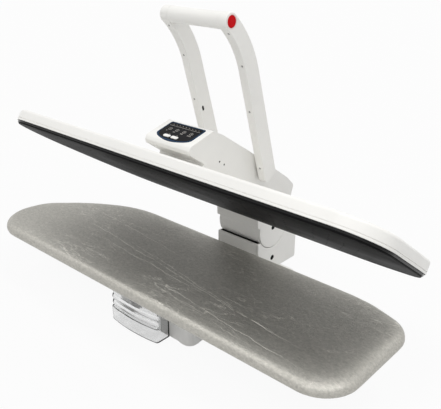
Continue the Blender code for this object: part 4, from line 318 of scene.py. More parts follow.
def silver_fabric(name, colour):
    """Metallised cotton: fine weave, cloudy sheen, the creases of use and painted highlights along them.
    """
    finish = Finish(name, colour, 0.38, 0.70)
    weave = finish.place(degrees=38)
    threads = []
    for scale, direction in ((560.0, "X"), (480.0, "Y")):
        inputs = {"Vector": weave, "Scale": scale, "Distortion": 0.8, "Detail": 1.0}
        wave = finish.node("ShaderNodeTexWave", inputs, bands_direction=direction)
        threads.append(wave.outputs["Fac"])
    way = finish.node("ShaderNodeNewGeometry").outputs["True Normal"]
    up = finish.node("ShaderNodeSeparateXYZ", {0: way}).outputs["Z"]
    top = finish.band(up, 0.75, 0.97)
    lines = [
        crease_line(finish, -9, (2.2, 13.0, 6.0), 1.1, 0.0065, 2.6),
        crease_line(finish, -24, (4.0, 17.0, 6.0), 1.3, 0.0060, 4.0),
        crease_line(finish, 31, (7.0, 22.0, 6.0), 1.2, 0.0055, 5.2),
        crease_line(finish, 12, (3.0, 14.0, 6.0), 1.2, 0.0055, 3.4),
        fold_line(finish, 0.1400, 0.115, -0.30, 0.37, 0.0013),
        fold_line(finish, 0.1300, 0.150, -0.12, 0.33, 0.0010),
        fold_line(finish, 0.1540, 0.060, -0.22, 0.12, 0.0009),
        fold_line(finish, 0.0820, 0.105, -0.37, -0.02, 0.0009),
        fold_line(finish, 0.1880, 0.090, 0.02, 0.40, 0.0009),
    ]
    # Crease mask: it raises the relief, and it paints highlights into the colour
    creases_and_glints = lines[0]
    for line in lines[1:]:
        creases_and_glints = finish.sum(creases_and_glints, line, 1.0)
    creases_and_glints = finish.calc("MULTIPLY", creases_and_glints, top)
    mottle = finish.noise(finish.place((1, 1.5, 1.5), -18), 150.0, 6.0, 0.72, 0.6)
    clouds = finish.noise(finish.place((3, 4, 4)), 1.6, 3.0, 0.5)
    tone = finish.sum(finish.band(mottle, 0.30, 0.70), finish.band(clouds, 0.25, 0.75), 0.18)
    # Painted highlight: the creases lighten the tone
    tone = finish.sum(tone, creases_and_glints, 0.95)
    base = finish.mix(finish.band(tone, 0.1, 1.6), shade(colour, 0.76), shade(colour, 1.46))
    # Painted highlight: along the creases the colour goes up to nearly twice as light
    finish.colour(finish.mix(finish.band(creases_and_glints, 0.0, 1.0, 0.0, 0.55), base, shade(colour, 1.95)))
    finish.gloss(tone, 0.1, 1.9, 0.44, 0.34)
    dents = finish.noise(finish.place(), 60.0, 4.0, 0.6)
    relief = finish.sum(finish.sum(creases_and_glints, mottle, 0.9), dents, 0.30)
    finish.bump(finish.sum(relief, finish.sum(*threads, 0.7), 0.10), 0.50, 0.0012)
    return finish


def coated_plate(name, colour):
    """Dark non-stick coating with a fine speckle, worn a little by cloth."""
    finish = Finish(name, colour, 0.46)
    spot = finish.place()
    finish.tone(finish.noise(spot, 1500.0, 1.0), 0.56, 0.66, 1.0, 2.2)
    use = finish.noise(finish.place((1, 1.6, 1)), 5.0, 3.0, 0.5)
    finish.gloss(use, 0.3, 0.7, 0.50, 0.64)
    finish.bump(finish.noise(spot, 700.0, 2.0), 0.05, 0.0003)
    return finish


def brushed(name, colour, roughness, along=(4, 240, 240)):
    """Rolled or brushed sheet metal, marked along one direction."""
    finish = Finish(name, colour, roughness, 1.0)
    lines = finish.noise(finish.place(along), 3.0, 4.0, 0.6)
    clouds = finish.noise(finish.place(), 14.0, 3.0)
    finish.tone(clouds, 0.3, 0.7, 0.88, 1.06)
    finish.gloss(lines, 0.3, 0.7, roughness - 0.09, roughness + 0.10)
    finish.bump(lines, 0.14, 0.0005)
    return finish


def cast(name, colour):
    """As-cast alloy with its sandy skin."""
    finish = Finish(name, colour, 0.5, 1.0)
    spot = finish.place()
    skin = finish.sum(finish.noise(spot, 420.0, 4.0), finish.cells(spot, 300.0), 0.4)
    finish.tone(skin, 0.4, 0.9, 0.82, 1.08)
    finish.gloss(skin, 0.4, 0.9, 0.42, 0.62)
    finish.bump(skin, 0.3, 0.0006)
    return finish


def foam(name, colour):
    """Open-cell foam."""
    finish = Finish(name, colour, 0.9)
    spot = finish.place()
    pores = finish.cells(spot, 620.0)
    finish.tone(pores, 0.1, 0.6, 0.72, 1.05)
    finish.bump(pores, 0.6, 0.0012)
    return finish


def rubbery(name, colour, roughness):
    """Rubber or silicone with a dull, slightly dusty skin."""
    finish = Finish(name, colour, roughness)
    spot = finish.place()
    dust = finish.noise(spot, 60.0, 5.0, 0.65)
    finish.tone(dust, 0.45, 0.75, 1.0, 1.35)
    finish.gloss(dust, 0.3, 0.7, roughness - 0.08, roughness + 0.08)
    finish.bump(finish.noise(spot, 900.0, 2.0), 0.15, 0.0004)
    return finish


def circuit(name, colour):
    """Green solder mask with copper tracks and pads showing through it."""
    finish = Finish(name, colour, 0.4)
    spot = finish.place()
    inputs = {"Vector": spot, "Scale": 260.0, "Mortar Size": 0.03, "Brick Width": 0.9, "Row Height": 0.3}
    tracks = finish.node("ShaderNodeTexBrick", inputs).outputs["Fac"]
    pads = finish.band(finish.cells(spot, 330.0), 0.16, 0.12)
    finish.colour(finish.mix(finish.sum(tracks, pads, 0.8), colour, (0.42, 0.36, 0.16)))
    finish.bump(tracks, 0.25, 0.0003)
    return finish


def clear_plastic(name, colour):
    """Clear tank plastic with a little lime haze and flow marks."""
    finish = Finish(name, colour, 0.05)
    finish.set(IOR=1.43, Transmission_Weight=1.0)
    haze = finish.noise(finish.place((8, 8, 30)), 4.0, 5.0, 0.62, 0.5)
    finish.gloss(haze, 0.35, 0.75, 0.02, 0.14)
    finish.tone(haze, 0.3, 0.8, 1.0, 0.86)
    finish.bump(finish.noise(finish.place((20, 20, 60)), 2.2, 3.0), 0.25, 0.002)
    return finish


def glossy(name, colour, roughness):
    """Gloss plastic: nearly smooth, with handling marks in its shine."""
    finish = Finish(name, colour, roughness)
    spot = finish.place()
    marks = finish.noise(spot, 55.0, 5.0, 0.6)
    finish.tone(marks, 0.35, 0.7, 1.0, 1.12)
    finish.gloss(marks, 0.35, 0.7, roughness, roughness + 0.12)
    finish.bump(finish.noise(spot, 240.0, 2.0), 0.05, 0.0006)
    return finish


def make_finishes():
    """Every finish, by the name of its slot in the record."""
    scene = bpy.context.scene
    button_colour = tuple(scene.press_handle.button_colour)
    finishes = (
        moulded("white_plastic", tuple(scene.press_head.colour), 0.33),
        moulded("grey_plastic", (0.40, 0.40, 0.41), 0.45),
        moulded("black_plastic", (0.006, 0.006, 0.006), 0.60, 900.0, 0.2).set(Specular_IOR_Level=0.10),
        moulded("rim_black", (0.0015, 0.0015, 0.0015), 0.24, 900.0, 0.05).set(Specular_IOR_Level=0.22),
        glossy("navy_plastic", (0.008, 0.030, 0.068), 0.38).set(Specular_IOR_Level=0.08),
        glossy("lens_black", (0.003, 0.003, 0.0035), 0.30).set(Specular_IOR_Level=0.06),
        glossy("red_plastic", button_colour, 0.42).set(Specular_IOR_Level=0.08),
        silver_fabric("silver_fabric", tuple(scene.press_board.colour)),
        foam("foam", (0.78, 0.73, 0.58)),
        brushed("zinc_steel", (0.56, 0.57, 0.58), 0.36),
        coated_plate("dark_coating", tuple(scene.press_head.plate_colour)).set(Specular_IOR_Level=0.05),
        cast("cast_alloy", (0.60, 0.60, 0.59)),
        brushed("brass", (0.72, 0.52, 0.22), 0.30, (300, 8, 8)),
        clear_plastic("clear_plastic", tuple(scene.press_tank.colour)),
        rubbery("rubber", (0.028, 0.028, 0.028), 0.78),
        rubbery("hose_silicone", (0.72, 0.69, 0.62), 0.48),
        circuit("circuit_board", (0.02, 0.15, 0.06)),
        glossy("mark_grey", (0.42, 0.40, 0.37), 0.40).set(Specular_IOR_Level=0.2),
        rubbery("thread_grey", (0.34, 0.34, 0.33), 0.70),
        brushed("screw_dark", (0.16, 0.16, 0.165), 0.40, (200, 200, 200)),
        brushed("screw_pale", (0.40, 0.40, 0.395), 0.42, (200, 200, 200)),
        glossy("pale_ring", (0.80, 0.70, 0.68), 0.30),
    )
    return {item.name: item.material for item in finishes}


# Shapes


def rounded(corners, inset=0.0, fine=1):
    """Closed outline with round corners (x, y, radius, steps), moved inwards."""
    points = []
    for index, (across, up, radius, steps) in enumerate(corners):
        here = Vector((across, up))
        before = Vector(corners[index - 1][:2])
        after = Vector(corners[(index + 1) % len(corners)][:2])
        arriving = (here - before).normalized()
        leaving = (after - here).normalized()
        left = Vector((-arriving.y, arriving.x))
        left_after = Vector((-leaving.y, leaving.x))
        corner = here + (left + left_after) * inset / (1 + left.dot(left_after))
        turn = math.atan2(arriving.cross(leaving), arriving.dot(leaving))
        bend = math.copysign(1, turn)
        reach = radius - inset * bend
        if steps == 0 or reach <= WELD:
            points.append(tuple(corner))
            continue
        start = corner - arriving * reach * math.tan(abs(turn) / 2)
        centre = start + left * reach * bend
        spoke = start - centre
        count = steps * fine
        for step in range(count + 1):
            points.append(tuple(centre + Matrix.Rotation(turn * step / count, 2) @ spoke))
    return points


def arc(centre, radius, start, end, steps):
    """Points along a circle, both ends included."""
    turns = [start + (end - start) * step / steps for step in range(steps + 1)]
    return [(centre[0] + radius * math.cos(turn), centre[1] + radius * math.sin(turn)) for turn in turns]


def circle(centre, radius, sides):
    """Closed outline of a circle."""
    return arc(centre, radius, 0, math.tau, sides)[:-1]


def rectangle(left, low, right, high):
    """Closed outline between two corners."""
    return [(left, low), (right, low), (right, high), (left, high)]


def sharp(points):
    """Plain points as corners for rounded()."""
    return [(across, up, 0.0, 0) for across, up in points]


def neighbours(outline):
    """Each point of a closed outline with the next one, round to the first."""
    return zip(outline, outline[1:] + outline[:1])


def board_outline(inset, fine=4):
    """Plan of the board: straight front, swept rear left, cut rear right."""
    rear = FRONT + 0.3035
    left, right = -0.513, 0.509
    corners = [
        (left, FRONT, 0.090, 7),
        (right, FRONT, 0.078, 7),
        (right, rear - 0.037, 0.062, 5),
        (right - 0.112, rear, 0.300, 2),
        (left + 0.221, rear, 0.280, 4),
        (left + 0.0956, rear - 0.0708, 0.430, 2),
        (left, rear - 0.1616, 0.120, 5),
    ]
    return rounded(corners, inset, fine)


def edge_under(inset, low, radius, steps, first=0):
    """Section of a round lower edge as (inset, height), from the underside up."""
    turns = [math.pi / 2 * step / steps for step in range(first, steps + 1)]
    return [
        (inset + radius * (1 - math.sin(turn)), low + radius * (1 - math.cos(turn))) for turn in turns
    ]


def edge_over(inset, high, radius, steps):
    """Section of a round upper edge as (inset, height), from the side up."""
    turns = [math.pi / 2 * step / steps for step in range(steps + 1)]
    return [
        (inset + radius * (1 - math.cos(turn)), high - radius * (1 - math.sin(turn))) for turn in turns
    ]


def linked(name, data):
    """New object in the scene."""
    item = bpy.data.objects.new(name, data)
    bpy.context.scene.collection.objects.link(item)
    return item


def evaluated(item):
    """New mesh of the object with its modifiers worked in."""
    view = bpy.context.evaluated_depsgraph_get()
    return bpy.data.meshes.new_from_object(item.evaluated_get(view))


def to_mesh(shape, name):
    """Turn a bmesh into mesh data."""
    mesh = bpy.data.meshes.new(name)
    shape.to_mesh(mesh)
    shape.free()
    return mesh


def loft(name, loops, ends=BOTH_ENDS):
    """Skin over closed loops of points, one after another."""
    shape = bmesh.new()
    rows = [[shape.verts.new(spot) for spot in loop] for loop in loops]
    for lower, upper in neighbours(rows) if ends == RING else zip(rows, rows[1:]):
        for index in range(len(lower)):
            after = (index + 1) % len(lower)
            shape.faces.new((lower[index], lower[after], upper[after], upper[index]))
    if ends >= LAST_END:
        shape.faces.new(rows[-1])
    if ends == BOTH_ENDS:
        shape.faces.new(list(reversed(rows[0])))
    bmesh.ops.recalc_face_normals(shape, faces=shape.faces)
    return to_mesh(shape, name)


def level(points, height):
    """Plan outline at a height."""
    return [(across, along, height) for across, along in points]


def board_loft(name, rings, fine, ends=BOTH_ENDS):
    """Skin over the board's outline at each (inset, height)."""
    return loft(name, [level(board_outline(inset, fine), height) for inset, height in rings], ends)


def welded(mesh, degrees):
    """Copy of a mesh with its doubles joined and its flat facets merged."""
    shape = bmesh.new()
    shape.from_mesh(mesh)
    bmesh.ops.remove_doubles(shape, verts=shape.verts, dist=WELD)
    limit = math.radians(degrees)
    bmesh.ops.dissolve_limit(shape, angle_limit=limit, verts=shape.verts, edges=shape.edges)
    return shape


def outline_mesh(name, points, low, high, side=False, matrix=None):
    """Flat outline given a thickness: along Z, or along X for a side profile."""
    curve = bpy.data.curves.new(f"{name}_outline", "CURVE")
    curve.dimensions = "2D"
    curve.fill_mode = "BOTH"
    curve.extrude = (high - low) / 2
    spline = curve.splines.new("POLY")
    spline.points.add(len(points) - 1)
    for point, (across, up) in zip(spline.points, points):
        point.co = (across, up, 0.0, 1.0)
    spline.use_cyclic_u = True
    guide = linked(f"{name}_guide", curve)
    mesh = evaluated(guide)
    bpy.data.objects.remove(guide)
    shift = Matrix.Translation((0, 0, (low + high) / 2))
    if side:
        shift = Matrix(((0, 0, 1, 0), (1, 0, 0, 0), (0, 1, 0, 0), (0, 0, 0, 1))) @ shift
    if matrix is not None:
        shift = matrix @ shift
    shape = welded(mesh, 0.2)
    bmesh.ops.transform(shape, matrix=shift, verts=shape.verts)
    bmesh.ops.recalc_face_normals(shape, faces=shape.faces)
    shape.to_mesh(mesh)
    shape.free()
    return mesh


def lathe(name, profile, start, way, sides=64, ends=BOTH_ENDS):
    """Body of revolution from a profile of (along, radius) points."""
    turn = Vector(way).normalized().to_track_quat("Z", "Y").to_matrix()
    origin = Vector(start)
    angles = [math.tau * step / sides for step in range(sides)]
    loops = []
    for along, radius in profile:
        ring = [(radius * math.cos(angle), radius * math.sin(angle), along) for angle in angles]
        loops.append([origin + turn @ Vector(spot) for spot in ring])
    return loft(name, loops, ends)


def block(name, low, high):
    """Box between two corners."""
    shape = bmesh.new()
    bmesh.ops.create_cube(shape, size=1.0)
    low, high = Vector(low), Vector(high)
    bmesh.ops.scale(shape, vec=high - low, verts=shape.verts)
    bmesh.ops.translate(shape, vec=(low + high) / 2, verts=shape.verts)
    return to_mesh(shape, name)


def merged(name, meshes, weld=False):
    """Several meshes as one."""
    shape = bmesh.new()
    for mesh in meshes:
        shape.from_mesh(mesh)
    if weld:
        bmesh.ops.remove_doubles(shape, verts=shape.verts, dist=WELD)
        bmesh.ops.recalc_face_normals(shape, faces=shape.faces)
    return to_mesh(shape, name)


def cut(mesh, tools, operation="DIFFERENCE"):
    """Mesh with other meshes taken away from it or joined to it."""
    piece = linked("cut_piece", mesh)
    helpers = [linked("cut_tool", tool) for tool in tools]
    for helper in helpers:
        modifier = piece.modifiers.new("cut", "BOOLEAN")
        modifier.solver = "EXACT"
        modifier.operation = operation
        modifier.object = helper
    result = evaluated(piece)
    for item in (piece, *helpers):
        bpy.data.objects.remove(item)
    return result


def round_edges(item, width, segments, angle, weights=False):
    """Bevel on an object's sharp edges, or on its marked ones."""
    modifier = item.modifiers.new("rounded_edges", "BEVEL")
    modifier.width = width
    modifier.segments = segments
    modifier.limit_method = "WEIGHT" if weights else "ANGLE"
    modifier.angle_limit = math.radians(angle)
    modifier.miter_outer = "MITER_ARC"


def rounded_mesh(mesh, width, segments, weights=False):
    """Mesh with its edges rounded for good, ready to be cut."""
    item = linked("rounding", mesh)
    round_edges(item, width, segments, 50, weights)
    result = evaluated(item)
    bpy.data.objects.remove(item)
    return result


def even(item, weight=80):
    """Flats that stay flat in the light beside rounded edges."""
    modifier = item.modifiers.new("even_shading", "WEIGHTED_NORMAL")
    modifier.keep_sharp = True
    modifier.weight = weight


def add_piece(name, mesh, finish, body, nodes=(), slot=None, smooth=SMOOTH):
    """A mesh, drawn with the head closed, becomes a piece that rides on a body."""
    mesh.name = name
    if body not in ("base", "tank"):
        mesh.transform(TO_OPEN)
    mesh.shade_smooth()
    mesh.set_sharp_from_angle(angle=smooth)
    mesh.materials.clear()
    mesh.materials.append(FINISHES[finish])
    item = linked(name, mesh)
    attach(item, body)
    if nodes:
        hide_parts(*nodes)
    return item


def refined(name, node, finish, body, width, segments):
    """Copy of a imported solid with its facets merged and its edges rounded."""
    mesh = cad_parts[node].data.copy()
    shape = welded(mesh, 0.4)
    shape.to_mesh(mesh)
    shape.free()
    for attribute in [item for item in mesh.attributes if item.name.startswith("custom_normal")]:
        mesh.attributes.remove(attribute)
    item = add_piece(name, mesh, finish, body, (node,))
    round_edges(item, width, segments, 40)
    even(item, 50)


def carried(finish, *nodes):
    """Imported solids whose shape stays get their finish."""
    for node in nodes:
        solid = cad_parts[node]
        for place in solid.material_slots:
            place.material = FINISHES[finish]
        if finish != "circuit_board":
            solid.data.shade_smooth()


# Geometry Nodes


def scatter_tree(name, shape_builder):
    """Node tree that puts one small shape on the middle of every face of a mesh."""
    tree = bpy.data.node_groups.new(name, "GeometryNodeTree")
    sockets = {}
    kinds = {"Points": "Geometry", "Radius": "Float", "Depth": "Float", "Finish": "Material"}
    for label, kind in kinds.items():
        socket = tree.interface.new_socket(label, in_out="INPUT", socket_type=f"NodeSocket{kind}")
        sockets[label] = socket.identifier
    tree.interface.new_socket("Shapes", in_out="OUTPUT", socket_type="NodeSocketGeometry")
    start = add_node(tree, "NodeGroupInput")
    keep = add_node(tree, "GeometryNodeCaptureAttribute", domain="FACE")
    keep.capture_items.new("VECTOR", "Way")
    tree.links.new(start.outputs["Points"], keep.inputs["Geometry"])
    tree.links.new(add_node(tree, "GeometryNodeInputNormal").outputs["Normal"], keep.inputs["Way"])
    centre = add_node(tree, "GeometryNodeMeshToPoints", {"Mesh": keep.outputs["Geometry"]}, mode="FACES")
    turn = add_node(tree, "FunctionNodeAlignRotationToVector", {"Vector": keep.outputs["Way"]}, axis="Z")
    copies = add_node(tree, "GeometryNodeInstanceOnPoints", {
        "Points": centre.outputs["Points"],
        "Instance": shape_builder(tree, start),
        "Rotation": turn.outputs["Rotation"],
    })
    solid = add_node(tree, "GeometryNodeRealizeInstances", {"Geometry": copies.outputs["Instances"]})
    inputs = {"Geometry": solid.outputs["Geometry"], "Material": start.outputs["Finish"]}
    paint = add_node(tree, "GeometryNodeSetMaterial", inputs)
    add_node(tree, "NodeGroupOutput", {"Shapes": paint.outputs["Geometry"]})
    return tree, sockets


def rod(tree, start, sides):
    """Rod as wide and as long as the tree's inputs say, centred on its point."""
    inputs = {"Vertices": sides, "Radius": start.outputs["Radius"], "Depth": start.outputs["Depth"]}
    return add_node(tree, "GeometryNodeMeshCylinder", inputs).outputs["Mesh"]


def drill_shape(tree, start):
    """Short rod that drills one steam hole."""
    return rod(tree, start, 12)


def stitch_shape(tree, start):
    """One stitch: a short bar of thread."""
    return rod(tree, start, 6)


def screw_shape(tree, start):
    """Pan head with a six-sided drive recess."""
    radius, depth = start.outputs["Radius"], start.outputs["Depth"]
    width = calculate(tree, "MULTIPLY", radius, 0.36)
    inputs = {"Vertices": 6, "Radius Bottom": width, "Radius Top": width, "Depth": depth}
    drive = add_node(tree, "GeometryNodeMeshCone", inputs).outputs["Mesh"]
    lift = add_node(tree, "ShaderNodeCombineXYZ", {"Z": calculate(tree, "MULTIPLY", depth, 0.10)})
    inputs = {"Geometry": drive, "Translation": lift.outputs["Vector"]}
    recess = add_node(tree, "GeometryNodeTransform", inputs).outputs["Geometry"]
    inputs = {"Mesh 1": rod(tree, start, 20), "Mesh 2": recess}
    return add_node(tree, "GeometryNodeMeshBoolean", inputs, operation="DIFFERENCE").outputs["Mesh"]


def scattered(name, shape_builder, spots, radius, depth, finish):
    """Plain mesh of one small shape at each (place, direction)."""
    tree, sockets = scatter_tree(name, shape_builder)
    corners, faces = [], []
    for spot, way in spots:
        spot, way = Vector(spot), Vector(way).normalized()
        side = way.orthogonal().normalized() * WELD
        across = way.cross(side)
        start = len(corners)
        corners += [spot + side, spot - side / 2 + across, spot - side / 2 - across]
        faces.append((start, start + 1, start + 2))
    points = bpy.data.meshes.new(f"{name}_points")
    points.from_pydata(corners, [], faces)
    guide = linked(f"{name}_guide", points)
    modifier = guide.modifiers.new(name, "NODES")
    modifier.node_group = tree
    modifier[sockets["Radius"]] = radius
    modifier[sockets["Depth"]] = depth
    modifier[sockets["Finish"]] = FINISHES[finish]
    mesh = evaluated(guide)
    bpy.data.objects.remove(guide)
    return mesh


def add_scattered(name, shape_builder, spots, finish, body, radius, depth, **options):
    """Piece made of one small shape at each (place, direction)."""
    mesh = scattered(name, shape_builder, spots, radius, depth, finish)
    return add_piece(name, mesh, finish, body, **options)


# Ironing board


def inside(points, outline):
    """Which of many places lie inside a closed outline."""
    x, y = points[:, 0], points[:, 1]
    hit = np.zeros(len(points), dtype=bool)
    for (x0, y0), (x1, y1) in neighbours(outline):
        crosses = (y0 > y) != (y1 > y)
        if y1 != y0:
            hit ^= crosses & (x < (x1 - x0) * (y - y0) / (y1 - y0) + x0)
    return hit


def nearest(point, outline):
    """Closest place on a closed outline."""
    best, gap = None, 1e9
    here = Vector(point)
    for start, end in neighbours(outline):
        start, end = Vector(start), Vector(end)
        along = end - start
        share = max(0.0, min(1.0, (here - start).dot(along) / max(along.length_squared, 1e-12)))
        spot = start + along * share
        if (here - spot).length < gap:
            best, gap = spot, (here - spot).length
    return best


def places(mesh):
    """Rows with the place of each of a mesh's vertices."""
    spots = np.empty(len(mesh.vertices) * 3)
    mesh.vertices.foreach_get("co", spots)
    return spots.reshape(-1, 3)


def put(mesh, spots):
    """Move a mesh's vertices to new places."""
    mesh.vertices.foreach_set("co", spots.ravel())
    mesh.update()


def pressed_edge(mesh, depth, reach=0.055):
    """Let the edge down towards the right, where the pad is worn soft."""
    spots = places(mesh)
    gap = np.full(len(spots), 1e9)
    for start, end in neighbours(board_outline(0.0, 2)):
        along = np.subtract(end, start)
        share = ((spots[:, :2] - start) @ along / max(along @ along, 1e-12)).clip(0, 1)
        away = spots[:, :2] - (np.array(start) + share[:, None] * along)
        gap = np.minimum(gap, np.hypot(away[:, 0], away[:, 1]))
    right = ((spots[:, 0] - 0.05) / 0.38).clip(0, 1)
    front = ((0.02 - spots[:, 1]) / 0.12).clip(0, 1)
    high = ((spots[:, 2] - BOARD_LOW) / (BOARD_TOP - BOARD_LOW)).clip(0, 1)
    edge = (1 - gap / reach).clip(0, 1) ** 2
    spots[:, 2] -= depth * edge * right * front * high
    put(mesh, spots)


def baked(item):
    """Work the object's modifiers into its mesh."""
    mesh = evaluated(item)
    item.modifiers.clear()
    item.data = mesh


def swollen(item, frames, cap):
    """Puff the closed piece up with air, and keep each point near its start."""
    before = places(item.data)
    cloth = item.modifiers.new("swell", "CLOTH")
    cloth.settings.quality = 4
    cloth.settings.use_pressure = True
    cloth.settings.uniform_pressure_force = 4.0
    cloth.settings.effector_weights.gravity = 0.0
    scene = bpy.context.scene
    for number in range(1, frames + 1):
        scene.frame_set(number)
    baked(item)
    scene.frame_set(1)
    move = places(item.data) - before
    away = np.linalg.norm(move, axis=1)
    move *= (np.minimum(away, cap) / np.maximum(away, 1e-9))[:, None]
    put(item.data, before + move)


def crease_height(spot):
    """Pattern of the folds that ironing leaves, from about -1 to 1."""
    x, y = spot.x, spot.y
    wide = noise.noise(Vector((x * 9.0, y * 9.0, 3.1)))
    bent = Vector((x + 0.03 * wide, y + 0.02 * wide, 0.0))
    total = 0.0
    folds = ((-0.15, 5.0, 26.0, 0.6), (-0.50, 6.0, 34.0, 0.35), (0.55, 6.0, 30.0, 0.30))
    for turn, along, across, share in folds:
        c, s = math.cos(turn), math.sin(turn)
        u, v = bent.x * c + bent.y * s, -bent.x * s + bent.y * c
        ridge = 1.0 - abs(noise.noise(Vector((u * along, v * across, turn * 7.0)))) * 2.0
        total += share * max(0.0, ridge) ** 3
    return total - 0.35 + 0.45 * wide


def pad_mesh(worn):
    """Foam pad with round edges, let down where it is worn."""
    low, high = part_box("board_pad")
    inset, top = low[1] - FRONT, high[2] - 0.0008
    rings = [(inset + 0.004, low[2]), (inset, low[2] + 0.004)]
    rings += [*edge_over(inset, top - 0.0015, 0.010, 6), (inset + 0.026, top)]
    mesh = board_loft("ironing_pad", rings, 2)
    pressed_edge(mesh, worn)
    return mesh


def cover_mesh(settings):
    """Closed skin of the cover in even cells, swollen over the pad."""
    # It starts a little small, because it swells
    inset, low, top = 0.0008, BOARD_LOW + 0.0006, BOARD_TOP - 0.0016
    edge = settings.edge_round
    rings = [(0.030, low), (0.0045, low), *edge_under(inset, low, 0.006, 4, 1)]
    rings += [*edge_over(inset, top - 0.0008, edge, 7), (inset + edge + 0.012, top)]
    cover = linked("cover_cells", board_loft("cover_cells", rings, 3))
    remesh = cover.modifiers.new("cells", "REMESH")
    remesh.mode = "VOXEL"
    remesh.voxel_size = settings.voxel
    baked(cover)
    swollen(cover, 12, 0.0007)
    pressed_edge(cover.data, settings.worn)
    divide = cover.modifiers.new("finer", "SUBSURF")
    divide.levels = divide.render_levels = 1
    baked(cover)
    mesh = cover.data
    bpy.data.objects.remove(cover)
    return mesh


def hemmed(mesh, crease):
    """Open the cover below, crease it and fold its hem over."""
    shape = bmesh.new()
    shape.from_mesh(mesh)
    shape.normal_update()
    hem = board_outline(0.016, 3)
    spots = np.array([face.calc_center_median()[:] for face in shape.faces])
    under = inside(spots, hem) & (spots[:, 2] < BOARD_LOW + 0.006)
    gone = [face for face, drop in zip(shape.faces, under) if drop]
    bmesh.ops.delete(shape, geom=gone, context="FACES")
    for vertex in shape.verts:
        if vertex.is_boundary:
            vertex.co.xy = nearest(vertex.co.xy, hem)
    for vertex in shape.verts:
        share = 1.0 if vertex.normal.z > 0.5 else 0.55
        if vertex.co.z < BOARD_LOW + 0.004:
            share = 0.15
        vertex.co += vertex.normal * (crease_height(vertex.co) * crease * share)
        vertex.co.z = min(vertex.co.z, BOARD_TOP + 0.0002)
    rim = [edge for edge in shape.edges if edge.is_boundary]
    for item in bmesh.ops.extrude_edge_only(shape, edges=rim)["geom"]:
        if isinstance(item, bmesh.types.BMVert):
            item.co.z += 0.0011
    shape.to_mesh(mesh)
    shape.free()


def stitch_spots():
    """Place and direction of each stitch round the hem."""
    spots = []
    for start, end in neighbours(board_outline(0.013, 6)):
        start, end = Vector((*start, BOARD_LOW)), Vector((*end, BOARD_LOW))
        count = max(1, int((end - start).length / 0.0045))
        for step in range(count):
            spot = start.lerp(end, (step + 0.5) / count)
            spots.append((spot + Vector((0, 0, 0.0001)), end - start))
    return spots


class PRESS_OT_board(bpy.types.Operator):
    """Silver cover, stretched over its foam pad"""

    bl_idname = "press.board"
    bl_label = "Ironing board"

    def execute(self, context):
        settings = context.scene.press_board
        pad = add_piece("ironing_pad", pad_mesh(settings.worn), "foam", "base", ("board_pad",))
        mesh = cover_mesh(settings)
        hemmed(mesh, settings.crease)
        cover = add_piece(
            "ironing_cover", mesh, "silver_fabric", "base", ("board_cover",), smooth=math.radians(80)
        )
        stitches = add_scattered(
            "hem_stitches", stitch_shape, stitch_spots(), "thread_grey", "base",
            radius=0.00035, depth=0.0028, slot="silver_fabric",
        )
        carried("zinc_steel", "board_tray", "board_rail_front", "board_rail_rear")
        return {"FINISHED"}


# Head


class PRESS_OT_head_shell(bpy.types.Operator):
    """White shell over the heated plate, and the dark strip under it"""

    bl_idname = "press.head_shell"
    bl_label = "Head shell"

    def execute(self, context):
        depth = context.scene.press_head.groove
        bottom, shoulder, top, out = 0.159, 0.186, 0.187, -0.006
        wall, inner_edge = 0.0028, 0.0034
        groove = bottom + 0.0052
        rings = [
            (out + wall, bottom + 0.012),
            (out + 0.0026, bottom + 0.0022),
            *edge_under(out, bottom, 0.0011, 4),
            (out, groove - 0.0006),
            (out + depth, groove - 0.0002),
            (out + depth, groove + 0.0002),
            (out, groove + 0.0006),
            *edge_over(out, shoulder, 0.0062, 8),
            (out + 0.015, top - 0.0003),
            (out + 0.024, top),
        ]
        outer = board_loft("head_shell", rings, 5, LAST_END)
        rings = [
            (out + wall, bottom + 0.012),
            *edge_over(out + wall, shoulder - wall, inner_edge, 4),
            (out + 0.024, top - wall),
        ]
        inner = board_loft("head_shell_inside", rings, 5, LAST_END)
        mesh = merged("head_shell", [outer, inner], weld=True)
        low, high = (-0.050, FRONT + 0.105, 0.1835), (0.050, FRONT + 0.288, top + 0.004)
        mesh = cut(mesh, [block("shell_window", low, high)])
        even(add_piece("head_shell", mesh, "white_plastic", "head", ("head_cover",)), 50)

        low, high = bottom - 0.0045, bottom + 0.0075
        outside, chamfer, within = -0.0029, 0.0006, 0.0021
        rings = [
            (outside + chamfer, low),
            (outside, low + chamfer),
            (outside, high),
            (outside + within, high),
            (outside + within, low + chamfer),
            (outside + 0.0015, low),
        ]
        strip = board_loft("heat_strip", rings, 4, RING)
        add_piece("heat_strip", strip, "rim_black", "head", ("heat_guard",), "black_plastic")
        return {"FINISHED"}


class PRESS_OT_heated_plate(bpy.types.Operator):
    """Heated plate with its rows of steam holes"""

    bl_idname = "press.heated_plate"
    bl_label = "Heated plate"

    def execute(self, context):
        low, high, inset = BOARD_TOP + 0.0005, BOARD_TOP + 0.0085, -0.0005
        rings = [*edge_under(inset, low, 0.0016, 5), (inset, high - 0.0006), (inset + 0.0006, high)]
        mesh = board_loft("sole_plate", rings, 4)
        spots = [
            (-0.400 + column * 0.032 + (0.016 if row % 2 else 0.0), FRONT + 0.060 + row * 0.031, low)
            for row in range(7)
            for column in range(26)
        ]
        keep = inside(np.array(spots), board_outline(0.030, 3))
        spots = [(spot, (0, 0, 1)) for spot, hit in zip(spots, keep) if hit]
        radius = context.scene.press_head.hole_radius
        drills = scattered("steam_hole_drills", drill_shape, spots, radius, 0.006, "dark_coating")
        add_piece("sole_plate", cut(mesh, [drills]), "dark_coating", "head", ("heater_plate",))
        carried("cast_alloy", "steam_chamber")
        carried("zinc_steel", "heating_element", "head_spine", "thermal_fuse")
        carried("brass", "thermostat")
        carried("hose_silicone", "steam_hose")
        return {"FINISHED"}


# Housing


def tangent_angle(point, centre, radius):
    """Where a line from a point touches a circle, on its rear side."""
    offset = Vector(point) - Vector(centre)
    return math.atan2(offset.y, offset.x) - math.acos(radius / offset.length)


